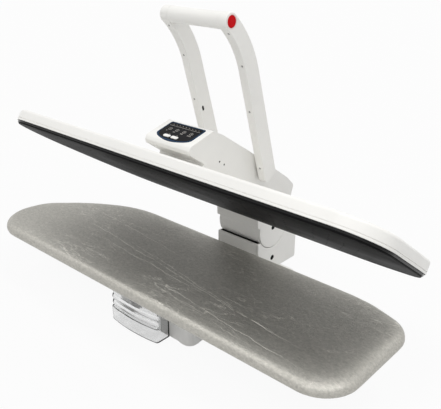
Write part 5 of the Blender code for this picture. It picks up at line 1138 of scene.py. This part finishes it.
def housing_outline(inset=0.0):
    """Side profile of the housing, from the neck round the hinge to the hood."""
    seat, top, bottom = 0.0523, BOARD_TOP + 0.130, 0.1873
    back = (FRONT + 0.432, BOARD_TOP + 0.102)
    # The wall's inner side stops short of the sharp rear lip
    rear_angle = tangent_angle(back, AXLE, DRUM_RADIUS) + (0.30 if inset else 0.0)
    ring = arc(AXLE, seat, rear_angle, math.pi + math.asin(0.020 / seat), 48)
    high, low = (TO_PANEL @ Vector((0, along, 0)) for along in (0.052, -0.0175))
    neck_lip = HINGE.y - DRUM_RADIUS - SEAM - CHEEK_WIDTH
    neck = neck_lip - 0.014
    corners = [
        (neck_lip, BOARD_TOP - 0.012, 0.0, 0),
        *sharp(reversed(ring)),
        (*back, 0.011, 6),
        (back[0] - 0.0055, top - 0.0055, 0.011, 8),
        (FRONT + 0.388, top, 0.030, 4),
        (FRONT + 0.213, top, 0.060, 6),
        (FRONT + 0.108, BOARD_TOP + 0.1265, 0.040, 6),
        (high.y, high.z, 0.006, 6),
        (low.y, low.z, 0.010, 6),
        (FRONT + 0.033, BOARD_TOP + 0.059, 0.004, 5),
        (FRONT + 0.040, BOARD_TOP + 0.054, 0.0012, 3),
        (FRONT + 0.088, BOARD_TOP + 0.054, 0.003, 4),
        (FRONT + 0.088, bottom, 0.0, 0),
        (neck, bottom, 0.0, 0),
        (neck, BOARD_TOP + 0.006, 0.0, 0),
    ]
    return rounded(corners, inset)


def weigh(mesh, weight_of):
    """Mark how much each edge is to be rounded."""
    layer = mesh.attributes.new("bevel_weight_edge", "FLOAT", "EDGE")
    for edge in mesh.edges:
        first, last = (mesh.vertices[index].co for index in edge.vertices)
        layer.data[edge.index].value = weight_of(first, last)


def sector(name, start, end, half, outer):
    """Window of a ring round the hinge axis."""
    points = arc(AXLE, 0.0445, end, start, 16) + arc(AXLE, outer, start, end, 16)
    return outline_mesh(name, points, -half, half, side=True)


def plate_window():
    """Window that the hinge plates pass through, in barrel and housing."""
    return sector("plate_window", math.radians(62), math.radians(172), 0.032, 0.063)


def bore(radius, depth, start, way, sides):
    """Round tool for a hole."""
    return lathe("bore", [(0, radius), (depth, radius)], start, way, sides)


def housing_weight(first, last):
    """Full rounding along the outer edges of the sides, little round the hinge."""
    middle = (first + last) / 2
    if abs(middle.x) < HEAD_HALF - 0.0003:
        return 0.0
    below = middle.z < BOARD_TOP + 0.0537
    near = math.hypot(middle.y - HINGE.y, middle.z - HINGE.z) < 0.0535
    return 0.22 if below or near else 1.0


class PRESS_OT_housing(bpy.types.Operator):
    """White housing between the arms, with the hood of the control panel"""

    bl_idname = "press.housing"
    bl_label = "Housing"

    def execute(self, context):
        wall = 0.003
        inner = HEAD_HALF - wall
        mesh = outline_mesh("housing_shell", housing_outline(), -HEAD_HALF, HEAD_HALF, side=True)
        weigh(mesh, housing_weight)
        vents = [(FRONT + 0.1305 + index * 0.0175, BOARD_TOP + 0.075) for index in range(2)]
        mesh = cut(rounded_mesh(mesh, 0.0065, 7, weights=True), [
            outline_mesh("housing_space", housing_outline(wall), -inner, inner, side=True),
            block("housing_opening", (-0.050, FRONT + 0.105, 0.1833), (0.050, 0.082, 0.1933)),
            plate_window(),
            bore(0.0066, 2 * ARM_OUTER, (-ARM_OUTER, LEVER_Y, LEVER_Z), (1, 0, 0), 40),
            on_panel("panel_hole", panel_outline(-0.0003), -0.007, 0.004),
            *[bore(0.0022, 2 * ARM_OUTER, (-ARM_OUTER, *vent), (1, 0, 0), 20) for vent in vents],
        ])
        even(add_piece("housing_shell", mesh, "white_plastic", "head", ("head_housing",)))
        # Black plugs in the vent holes: painted shade for the dark inside of the vents
        spots = [
            ((side * (HEAD_HALF - 0.0010), *vent), (side, 0, 0))
            for side in (-1, 1)
            for vent in vents
        ]
        shade_plug = {"radius": 0.0021, "depth": 0.0012}
        add_scattered("vent_shade_plugs", screw_shape, spots, "black_plastic", "head", **shade_plug)
        return {"FINISHED"}


# Control panel


def on_panel(name, points, low, high):
    """Outline on the panel's plane, given a thickness."""
    return outline_mesh(name, points, low, high, matrix=TO_PANEL)


def panel_outline(inset):
    """Control panel from the front: straight sides and a round lower edge."""
    half, high, low, kink = 0.0495, 0.047, 0.017, 0.004
    turns = [math.pi * step / 42 for step in range(42)]
    points = [(-half * math.cos(turn), kink - (low + kink) * math.sin(turn)) for turn in turns]
    top = [(half, kink, 0.0, 0), (half, high, 0.004, 9), (-half, high, 0.004, 9), (-half, kink, 0.0, 0)]
    points += rounded(top)[:-1]
    return rounded(sharp(points), inset) if inset else points


def key_outline(middle, grow=0.0):
    """Lozenge key with round ends."""
    half_length, half_width, along = 0.0093 + grow, 0.00425 + grow, -0.0035
    left, right = middle - half_length, middle + half_length
    low, high = along - half_width, along + half_width
    corners = rectangle(left, low, right, high)
    return rounded([(*corner, half_width * 0.9, 9) for corner in corners])


def key_holes():
    """Tools that open the panel for the keys."""
    middles = KEY_PLACES.values()
    return [on_panel("key_hole", key_outline(middle, SEAM), *THROUGH) for middle in middles]


def number_mesh(number, middle, low, high):
    """Plain number on the panel."""
    text = bpy.data.curves.new("number", "FONT")
    text.body = str(number)
    text.size = 0.0058
    text.align_x = text.align_y = "CENTER"
    text.extrude = (high - low) / 2
    text.resolution_u = 4
    guide = linked("number", text)
    mesh = evaluated(guide)
    bpy.data.objects.remove(guide)
    mesh.transform(TO_PANEL @ Matrix.Translation((*middle, (low + high) / 2)))
    return mesh


def panel_marks():
    """Plain marks above the keys: rings with numbers, level bars and dots."""
    low, high = 0.00045, 0.00062
    meshes = []
    for index, across in enumerate((-0.030, -0.010, 0.010, 0.030)):
        middle = (across, 0.0215)
        hole = on_panel("ring_hole", circle(middle, 0.0034, 28), low - 0.001, high + 0.001)
        meshes.append(cut(on_panel("ring", circle(middle, 0.0042, 28), low, high), [hole]))
        for bar in range(index + 1):
            left = across - 0.0045 + bar * 0.0026
            meshes.append(on_panel("bar", rectangle(left, 0.0125, left + 0.0016, 0.0150), low, high))
        meshes.append(number_mesh(index + 1, middle, low, high))
    plain = [rectangle(-0.043, 0.0335, 0.043, 0.0341)]
    plain += [circle((-0.036 + index * 0.009, 0.0385), 0.0009, 12) for index in range(9)]
    plain += [circle((middle, 0.0045), 0.0010, 16) for middle in KEY_PLACES.values()]
    meshes += [on_panel("mark", points, low, high) for points in plain]
    return merged("panel_marks", meshes)


class PRESS_OT_panel(bpy.types.Operator):
    """Rim, dark screen and its plain marks"""

    bl_idname = "press.panel"
    bl_label = "Control panel"

    def execute(self, context):
        rim = rounded_mesh(on_panel("panel_rim", panel_outline(0.0), -0.0026, 0.0008), 0.0005, 3)
        rim = cut(rim, [on_panel("rim_space", panel_outline(0.0032), *THROUGH)])
        even(add_piece("panel_rim", rim, "navy_plastic", "head", ("panel_bezel",)))
        screen = cut(on_panel("panel_screen", panel_outline(0.0035), -0.0026, 0.0003), key_holes())
        add_piece("panel_screen", screen, "navy_plastic", "head", ("panel_lens",))
        window = rounded([
            (-0.0365, -0.0118, 0.013, 10),
            (0.0462, -0.0118, 0.024, 12),
            (0.0462, 0.0437, 0.001, 3),
            (-0.0462, 0.0437, 0.001, 3),
            (-0.0462, 0.0070, 0.008, 6),
        ])
        window = cut(on_panel("panel_window", window, 0.00032, 0.00050), key_holes())
        add_piece("panel_window", window, "lens_black", "head")
        add_piece("panel_marks", panel_marks(), "mark_grey", "head", slot="grey_plastic")
        carried("circuit_board", "control_board")
        return {"FINISHED"}


class PRESS_OT_keys(bpy.types.Operator):
    """Two white keys of the control panel"""

    bl_idname = "press.keys"
    bl_label = "Panel keys"

    def execute(self, context):
        for side, middle in KEY_PLACES.items():
            name = f"key_cap_{side}"
            mesh = rounded_mesh(on_panel(name, key_outline(middle), -0.0052, 0.0018), 0.0007, 4)
            even(add_piece(name, mesh, "white_plastic", f"key_{side}", (f"panel_key_{side}",)))
        return {"FINISHED"}


# Handle


def heading(angle):
    """Unit vector at an angle."""
    return Vector((math.cos(angle), math.sin(angle)))


def arm_frame():
    """Directions and places of an arm's centre line with the head closed."""
    lean, bend = math.radians(38.3), math.radians(31.45)
    up = Vector((-math.cos(lean), math.sin(lean)))
    back = Vector((math.sin(lean), math.cos(lean)))
    foot = Vector((LEVER_Y, LEVER_Z))
    centre = foot + up * ARM_STRAIGHT - back * ARM_BEND
    first = math.atan2(back.y, back.x)
    grip = centre + heading(first + bend) * ARM_BEND
    return up, back, foot, centre, first, first + bend, grip


def arm_outline():
    """Side profile of an arm: straight, then bent forwards to the grip."""
    up, back, foot, centre, first, last, grip = arm_frame()
    rear, front = [], []
    steps = 30
    for step in range(steps):
        share = step / steps
        half = ARM_HALF_LOW + (ARM_HALF_HIGH - ARM_HALF_LOW) * share
        way = heading(first + (last - first) * share)
        rear.append(tuple(centre + way * (ARM_BEND + half)))
        front.append(tuple(centre + way * (ARM_BEND - half)))
    tip = arc(tuple(grip), ARM_HALF_HIGH, last, last + math.pi, 28)
    heel_front = foot - up * 0.0345 - back * 0.020
    heel_back = foot - up * 0.022 + back * 0.020
    heel = [(*heel_front, 0.010, 8), (*heel_back, 0.010, 8)]
    return rounded(heel + sharp(rear + tip + list(reversed(front))))


def arm_front(along):
    """Place on the arm's front face, that far from the lever's pivot, and the way out."""
    up, back, foot, centre, first, last, _ = arm_frame()
    if along <= ARM_STRAIGHT:
        return foot + up * along - back * 0.020, -back
    angle = first + (along - ARM_STRAIGHT) / ARM_BEND
    half = ARM_HALF_LOW + (ARM_HALF_HIGH - ARM_HALF_LOW) * (angle - first) / (last - first)
    return centre + heading(angle) * (ARM_BEND - half), -heading(angle)


def arm_weight(first, last, side, grip):
    """Rounding of an arm's long edges, none where the grip meets it."""
    middle = (first + last) / 2
    if abs(first.x - last.x) > WELD:
        return 0.0
    if middle.x * side > ARM_INNER + WELD:
        return 1.0
    away = math.hypot(middle.y - grip.x, middle.z - grip.y)
    return min(1.0, max(0.0, (away - 0.019) / 0.030))


class PRESS_OT_arms(bpy.types.Operator):
    """Two arms of the handle, with their screws"""

    bl_idname = "press.arms"
    bl_label = "Handle arms"

    def execute(self, context):
        settings = context.scene.press_handle
        screw = settings.screw_radius
        up, back, foot, _, _, _, grip = arm_frame()
        for side, word in ((-1, "left"), (1, "right")):
            name = f"arm_{word}"
            low, high = sorted((side * ARM_INNER, side * ARM_OUTER))
            mesh = outline_mesh(name, arm_outline(), low, high, side=True)
            weigh(mesh, lambda first, last: arm_weight(first, last, side, grip))
            mesh = rounded_mesh(mesh, settings.arm_round, 6, weights=True)
            pivot = (side * (ARM_INNER - 0.004), LEVER_Y, LEVER_Z)
            tools = [
                bore(0.0135, 0.030, (low - 0.005, *grip), (1, 0, 0), 56),
                bore(0.0063, 0.017, pivot, (side, 0, 0), 40),
            ]
            alongs = (0.343, 0.256, 0.150, 0.008) if side > 0 else (0.343, 0.258, 0.150, 0.030)
            spots = []
            for along in alongs:
                spot, way = arm_front(along)
                across = 0.083 if side > 0 and along > 0.2 else 0.080
                spot, way = Vector((side * across, *spot)), Vector((0, *way))
                seat = [(-0.0012, screw + 0.0004), (0.002, screw + 0.0006)]
                tools.append(lathe("screw_seat", seat, spot, way, 28))
                spots.append((spot - way * 0.0008, way))
            if side < 0:
                middle, half = foot + up * 0.1233 - back * 0.009, 0.0031
                shifts = ((-0.0062, half), (0.0062, half), (0.0062, -half), (-0.0062, -half))
                corners = [(*(middle + up * lift + back * shift), half, 8) for lift, shift in shifts]
                face, gap = -ARM_INNER - 0.005, 0.0002
                tools.append(outline_mesh("arm_slot", rounded(corners), face, face + 0.009, side=True))
                # Black plug at the bottom of the slot: painted shade for the dark inside of the slot
                shade_plug = rounded(corners, gap)
                shade_plug = outline_mesh("slot_shade_plug", shade_plug, face + gap, face + 0.0042, side=True)
                add_piece("slot_shade_plug", shade_plug, "black_plastic", "handle")
            mesh = cut(mesh, tools)
            even(add_piece(name, mesh, "white_plastic", "handle", (f"handle_arm_{word}",)))
            add_scattered(
                f"arm_screws_{word}", screw_shape, spots, "screw_pale", "handle",
                radius=screw, depth=0.0010, slot="zinc_steel",
            )
        return {"FINISHED"}


class PRESS_OT_grip(bpy.types.Operator):
    """Round grip between the arms, its cap and the steam button"""

    bl_idname = "press.grip"
    bl_label = "Grip and steam button"

    def execute(self, context):
        grip = tuple(arm_frame()[6])
        end, inner = ARM_INNER - SEAM, 0.0135
        shares = (-0.99, -0.97, -0.93, -0.85, -0.5, 0.0, 0.5, 0.85, 0.93, 0.97, 0.99)
        profile = [(-end, inner), (-end, GRIP_RADIUS)]
        profile += [(share * end, GRIP_RADIUS - 0.0007 * (1 - abs(share)) ** 0.35) for share in shares]
        profile += [(end, GRIP_RADIUS), (end, inner)]
        mesh = lathe("grip_tube", profile, (0, *grip), (1, 0, 0), 72, RING)
        even(add_piece("grip_tube", mesh, "white_plastic", "handle", ("grip_sleeve",)))

        profile = [(0.0, 0.0132), (0.0044, 0.0132), (0.0052, 0.0126), (0.0055, 0.0115), (0.0055, 0.0060)]
        mesh = lathe("grip_cap", profile, (-ARM_OUTER + 0.004, *grip), (-1, 0, 0))
        even(add_piece("grip_cap", mesh, "white_plastic", "handle", ("grip_end_cap",)))

        face, back = ARM_OUTER + 0.0010, ARM_OUTER - 0.006
        profile = [
            (back - 0.020, 0.0026), (back - 0.0196, 0.0030), (back, 0.0030), (back, 0.0116),
            (back + 0.0004, 0.0120), (face - 0.0018, 0.0120), (face - 0.0009, 0.0117),
            (face - 0.0003, 0.0110), (face - 0.0001, 0.0100), (face, 0.0075), (face, 0.0030),
        ]
        mesh = lathe("steam_key", profile, (0, *grip), (1, 0, 0))
        even(add_piece("steam_key", mesh, "red_plastic", "button", ("steam_button",)))

        profile = [
            (-0.0050, 0.0123), (-0.0050, 0.0133), (-0.0002, 0.0133), (-0.0002, 0.0148),
            (0.0003, 0.0150), (0.0006, 0.0146), (0.0006, 0.0128), (0.0002, 0.0123),
        ]
        mesh = lathe("button_ring", profile, (ARM_OUTER, *grip), (1, 0, 0), ends=RING)
        add_piece("button_ring", mesh, "pale_ring", "handle", slot="white_plastic")
        carried("zinc_steel", "grip_core", "lever_shaft", "lever_spring", "steam_button_spring")
        carried("black_plastic", "steam_switch")
        return {"FINISHED"}


# Hinge and column


def column_outline(seat):
    """Side profile of the column, with the round seat of the hinge barrel."""
    start = math.pi + math.asin(0.028 / seat)
    end = math.tau - math.asin(0.013 / seat)
    front, rear, foot = HINGE.y - 0.0565, HINGE.y + 0.096, 0.043
    return rounded([
        (front, foot, 0.0, 0),
        (rear, foot, 0.005, 8),
        (rear, HINGE.z - 0.013, 0.010, 10),
        *sharp(arc(AXLE, seat, end, start, 44)),
        (front, HINGE.z - 0.028, 0.0, 0),
    ])


def cheek_profile(half):
    """Section of the drum's side cover: round edge, and a groove round the screw."""
    turns = [math.pi / 2 * step / 4 for step in range(1, 5)]
    edge = 0.0014
    return [
        (-half, 0.0510), (-half + 0.0005, 0.0515), (half - edge, 0.0515),
        *[(half - edge + edge * math.sin(turn), 0.0501 + edge * math.cos(turn)) for turn in turns],
        (half, 0.0480), (half - 0.0003, 0.0477), (half - 0.0003, 0.0473), (half, 0.0470), (half, 0.006),
    ]


def recessed(mesh, side, middle, half, spot):
    """Side cover with the round recess of its screw."""
    profile = [(-0.02, 0.0068), (half - 0.0005, 0.0068), (half + 0.0004, 0.0074)]
    return cut(mesh, [lathe("recess", profile, (middle, *spot), (side, 0, 0), 32)])


class PRESS_OT_hinge(bpy.types.Operator):
    """Hinge barrel with its cheeks, and the column that carries it"""

    bl_idname = "press.hinge"
    bl_label = "Hinge and column"

    def execute(self, context):
        rim, down = 0.0005, -math.pi / 2
        swing, margin = math.radians(17), math.radians(3)
        profile = [
            (-COLUMN_HALF, DRUM_RADIUS - rim), (-COLUMN_HALF + rim, DRUM_RADIUS),
            (COLUMN_HALF - rim, DRUM_RADIUS), (COLUMN_HALF, DRUM_RADIUS - rim),
        ]
        mesh = cut(lathe("hinge_drum", profile, (0, *AXLE), (1, 0, 0), 144), [
            lathe("drum_bore", [(-0.07, 0.0485), (0.07, 0.0485)], (0, *AXLE), (1, 0, 0), 96),
            sector("ear_slot", down - swing - margin, down + swing + OPEN_ANGLE + margin, 0.040, 0.0605),
            plate_window(),
        ])
        even(add_piece("hinge_drum", mesh, "white_plastic", "head", ("hinge_barrel",)))
        screw = (HINGE.y, HINGE.z - 0.083)
        for side, word in ((-1, "left"), (1, "right")):
            low, high = sorted((side * (COLUMN_HALF + SEAM), side * HEAD_HALF))
            middle, half = (low + high) / 2, (high - low) / 2
            name = f"drum_cheek_{word}"
            mesh = lathe(name, cheek_profile(half), (middle, *AXLE), (side, 0, 0), 144)
            mesh = recessed(mesh, side, middle, half, AXLE)
            even(add_piece(name, mesh, "white_plastic", "head", (f"hinge_cheek_{word}",)))
            name = f"column_cover_{word}"
            mesh = outline_mesh(name, column_outline(0.053), low, high, side=True)
            mesh = recessed(rounded_mesh(mesh, 0.0018, 4), side, middle, half, screw)
            even(add_piece(name, mesh, "white_plastic", "base", (f"column_side_{word}",)))
        # Black screw heads that nearly fill the holes in the side covers: their black is painted shade
        # for the dark holes
        for name, body, spot in (("column_screws_and_shade", "base", screw), ("drum_screws_and_shade", "head", AXLE)):
            depth = 0.0016
            spots = [((side * (HEAD_HALF - depth), *spot), (side, 0, 0)) for side in (-1, 1)]
            add_scattered(name, screw_shape, spots, "black_plastic", body, radius=0.0066, depth=depth)

        outline = column_outline(0.0535)
        mesh = outline_mesh("column_shell", outline, -COLUMN_HALF, COLUMN_HALF, side=True)
        space, over = rounded(sharp(outline), 0.003), COLUMN_HALF + 0.004
        wide, deep = 0.036 + 0.016 + 0.0015, 0.026 + 0.0015
        reach = swing + margin
        mesh = cut(rounded_mesh(mesh, 0.0006, 2), [
            outline_mesh("column_space", space, -over, over, side=True),
            block("foot_space", (-wide, HINGE.y - deep, 0.039), (wide, HINGE.y + deep, 0.049)),
            sector("ear_window", down - reach, down + reach, 0.040, 0.0605),
        ])
        even(add_piece("column_shell", mesh, "white_plastic", "base", ("column_body",)))
        # Black strip on the column's top in front of the drum: painted shade for the gap between column
        # and drum
        ledge = HINGE.z - 0.028
        corners = ((-0.0520, 0.0001), (-0.0451, 0.0001), (-0.0455, 0.0009), (-0.0518, 0.0009))
        gap_shade = [(HINGE.y + away, ledge + up) for away, up in corners]
        mesh = outline_mesh("seat_gap_shade", gap_shade, -COLUMN_HALF, COLUMN_HALF, side=True)
        add_piece("seat_gap_shade", mesh, "black_plastic", "base")
        springs = ("counter_spring_left", "counter_spring_right")
        carried("zinc_steel", "hinge_bracket", "hinge_shaft", "hinge_frame", *springs)
        carried("brass", "hinge_bush_left", "hinge_bush_right", "water_swivel")
        return {"FINISHED"}


# Tank and base


def tank_outline(setback, inset=0.0):
    """Plan of the tank's front, which bulges towards the user."""
    left, right, corner = -0.107, 0.041, 0.006
    front, rear = FRONT + 0.046 + setback, FRONT + 0.0845
    half, rise = (right - left) / 2 - corner, 0.0055
    radius = (half**2 + rise**2) / (2 * rise)
    spread = math.asin(half / radius)
    centre = ((left + right) / 2, front - rise + radius)
    middle = arc(centre, radius, -math.pi / 2 - spread, -math.pi / 2 + spread, 32)
    begin = arc((left + corner, front + corner), corner, math.pi, math.pi * 1.5, 12)
    finish = arc((right - corner, front + corner), corner, math.pi * 1.5, math.tau, 12)
    points = [(left, rear), *begin[:-1], *middle, *finish[1:], (right, rear)]
    return rounded(sharp(points), inset) if inset else points


class PRESS_OT_tank(bpy.types.Operator):
    """Clear water tank with its ribs, lid and valve"""

    bl_idname = "press.tank"
    bl_label = "Water tank"

    def execute(self, context):
        settings = context.scene.press_tank
        rear, seam = FRONT + 0.205, FRONT + 0.0845
        left, right = -0.092 + 0.005, 0.012 - 0.005
        bottom, belly, body_top, top = 0.005, 0.041, 0.1025, 0.118
        wall, overlap = 0.0025, 0.00001
        profile = edge_under(0.0, bottom, 0.003, 4) + edge_over(0.0, belly, 0.002, 4)
        profile += [(0.0048, belly + 0.0002), (0.005, belly + 0.0012)]
        turns = [math.pi * step / 8 for step in range(9)]
        for index in range(settings.rib_count):
            middle = belly + 0.0095 + index * 0.0155
            for turn in turns:
                profile.append((0.005 - settings.rib * math.sin(turn), middle - 0.0056 * math.cos(turn)))
        profile += [
            (0.005, 0.1120), (0.0030, 0.1124), (0.0025, 0.1130),
            (0.0025, 0.1170), (0.0032, 0.1178), (0.0040, top),
        ]
        mesh = loft("tank_front", [level(tank_outline(setback), height) for setback, height in profile])
        low, high = (left, seam - wall, bottom + overlap), (right, rear, body_top)
        mesh = cut(mesh, [block("tank_body", low, high)], "UNION")
        low = (left - 0.004, seam - wall, body_top - wall)
        high = (right + 0.004, rear + overlap, body_top + overlap)
        mesh = cut(mesh, [block("tank_flange", low, high)], "UNION")
        floor = bottom + wall
        spaces = [
            outline_mesh("belly_space", tank_outline(0.0, wall), floor, belly - wall),
            outline_mesh("neck_space", tank_outline(0.005, wall), belly - 2 * wall, top - wall),
        ]
        for front, back, height in (
            (seam - 2 * wall, seam + 2 * wall, body_top - wall),
            (seam + wall, rear - wall, body_top + 0.004),
        ):
            spaces.append(block("space", (left + wall, front, floor), (right - wall, back, height)))
        mesh = cut(mesh, spaces)
        even(add_piece("tank_shell", mesh, "clear_plastic", "tank", ("water_tank",)))
        carried("clear_plastic", "tank_lid")
        carried("grey_plastic", "tank_valve")
        return {"FINISHED"}


class PRESS_OT_base(bpy.types.Operator):
    """White base with its feet, cable inlet and what it holds"""

    bl_idname = "press.base"
    bl_label = "Base"

    def execute(self, context):
        refined("base_shell", "base_chassis", "white_plastic", "base", 0.0011, 3)
        refined("inlet_bush", "cable_gland", "black_plastic", "base", 0.0004, 2)
        low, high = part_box("base_plate")
        spots = [
            ((x, y, low[2] + 0.0002), (0, 0, -1))
            for x in (low[0] + 0.018, high[0] - 0.018)
            for y in (low[1] + 0.030, high[1] - 0.018)
        ]
        add_scattered(
            "plate_screws", screw_shape, spots, "screw_dark", "base",
            radius=0.0036, depth=0.0014, slot="zinc_steel",
        )
        carried("zinc_steel", "base_plate")
        carried("rubber", "foot_front_left", "foot_front_right", "foot_rear_left", "foot_rear_right")
        carried("grey_plastic", "valve_socket", "water_pump")
        carried("hose_silicone", "suction_hose", "feed_hose")
        carried("circuit_board", "power_board")
        return {"FINISHED"}


# Stage


def seen_share(tree):
    """1 for what the camera sees, also mirrored or through clear plastic, else 0."""
    path = add_node(tree, "ShaderNodeLightPath").outputs
    seen = calculate(tree, "MAXIMUM", path["Is Camera Ray"], path["Is Glossy Ray"])
    return calculate(tree, "MAXIMUM", seen, path["Is Transmission Ray"])


def pale_floor(colour):
    """Round floor that glows a little where it is seen."""
    shape = bmesh.new()
    bmesh.ops.create_circle(shape, cap_ends=True, radius=14.0, segments=96)
    floor = linked("floor", to_mesh(shape, "floor"))
    finish = Finish("floor_paper", colour, 0.85)
    tree = finish.tree
    glow = finish.node("ShaderNodeEmission", {"Color": (1, 1, 1, 1), "Strength": 1.0})
    share = finish.calc("MULTIPLY", seen_share(tree), 0.93)
    inputs = {0: share, 1: finish.shader.outputs["BSDF"], 2: glow.outputs["Emission"]}
    blend = finish.node("ShaderNodeMixShader", inputs)
    tree.links.new(blend.outputs["Shader"], tree.nodes["Material Output"].inputs["Surface"])
    floor.data.materials.append(finish.material)
    return floor


def studio(sky):
    """World that is white where it is seen, and an even light."""
    world = bpy.data.worlds.new("studio")
    world.use_nodes = True
    tree = world.node_tree
    tree.nodes.clear()
    inputs = {0: seen_share(tree)}
    for index, power in ((1, sky), (2, 1.0)):
        light = add_node(tree, "ShaderNodeBackground", {"Color": (1, 1, 1, 1), "Strength": power})
        inputs[index] = light.outputs[0]
    blend = add_node(tree, "ShaderNodeMixShader", inputs)
    add_node(tree, "ShaderNodeOutputWorld", {"Surface": blend.outputs[0]})
    return world


def add_lamp(name, kind, power, way, spot=(0, 0, 0), **settings):
    """Lamp that shines along a direction."""
    light = bpy.data.lights.new(name, kind)
    light.energy = power
    for field, value in settings.items():
        setattr(light, field, value)
    lamp = linked(name, light)
    lamp.location = spot
    lamp.rotation_euler = Vector(way).to_track_quat("-Z", "Y").to_euler()


class PRESS_OT_stage(bpy.types.Operator):
    """Pale floor, soft light and the camera"""

    bl_idname = "press.stage"
    bl_label = "Floor, light and camera"

    def execute(self, context):
        scene = context.scene
        settings = scene.press_stage
        floor = pale_floor(tuple(settings.floor_colour))
        scene.world = studio(settings.sky)

        soft = math.radians(20)
        add_lamp("key", "SUN", settings.key, (0.20, 0.60, -1.0), angle=soft)
        add_lamp("top", "SUN", settings.top, (-0.25, -0.15, -1.0), angle=soft)
        spot = Vector((0.78, -0.48, 0.95))
        add_lamp("side", "AREA", settings.side, Vector((0.25, -0.10, 0.20)) - spot, spot, size=0.7)

        camera = bpy.data.cameras.new("camera")
        camera.lens = 52.49
        camera.sensor_width = 36.0
        camera.sensor_fit = "HORIZONTAL"
        camera.clip_end = 100.0
        seat = linked("camera", camera)
        seat.location = (0.9070, -0.9666, 0.8369)
        seat.rotation_euler = (math.radians(90 - 23.8), 0.0, math.radians(42.0))
        scene.camera = seat
        scene.view_settings.view_transform = "Standard"
        return {"FINISHED"}


class PRESS_PT_panel(bpy.types.Panel):
    """Sizes and colours of the press, and the steps that make it."""

    bl_idname = "PRESS_PT_panel"
    bl_label = "Steam press"
    bl_space_type = "VIEW_3D"
    bl_region_type = "UI"
    bl_category = "Press"

    def draw(self, context):
        layout = self.layout
        for name, group in GROUPS.items():
            box = layout.box()
            settings = getattr(context.scene, name)
            for field in group.__annotations__:
                box.prop(settings, field)
        for operator in STEPS:
            layout.operator(operator.bl_idname)


GROUPS = {
    "press_board": BoardSettings,
    "press_head": HeadSettings,
    "press_handle": HandleSettings,
    "press_tank": TankSettings,
    "press_stage": StageSettings,
}
STEPS = (
    PRESS_OT_board,
    PRESS_OT_head_shell,
    PRESS_OT_heated_plate,
    PRESS_OT_housing,
    PRESS_OT_panel,
    PRESS_OT_keys,
    PRESS_OT_arms,
    PRESS_OT_grip,
    PRESS_OT_hinge,
    PRESS_OT_tank,
    PRESS_OT_base,
    PRESS_OT_stage,
)


def register():
    for name, group in GROUPS.items():
        bpy.utils.register_class(group)
        setattr(bpy.types.Scene, name, bpy.props.PointerProperty(type=group))
    for item in (*STEPS, PRESS_PT_panel):
        bpy.utils.register_class(item)


def unregister():
    for item in reversed((*STEPS, PRESS_PT_panel)):
        bpy.utils.unregister_class(item)
    for name, group in reversed(GROUPS.items()):
        delattr(bpy.types.Scene, name)
        bpy.utils.unregister_class(group)


def main():
    """Make every piece in order."""
    register()
    FINISHES.update(make_finishes())
    for operator in STEPS:
        group, name = operator.bl_idname.split(".")
        getattr(getattr(bpy.ops, group), name)()


if __name__ == "__main__":
    main()
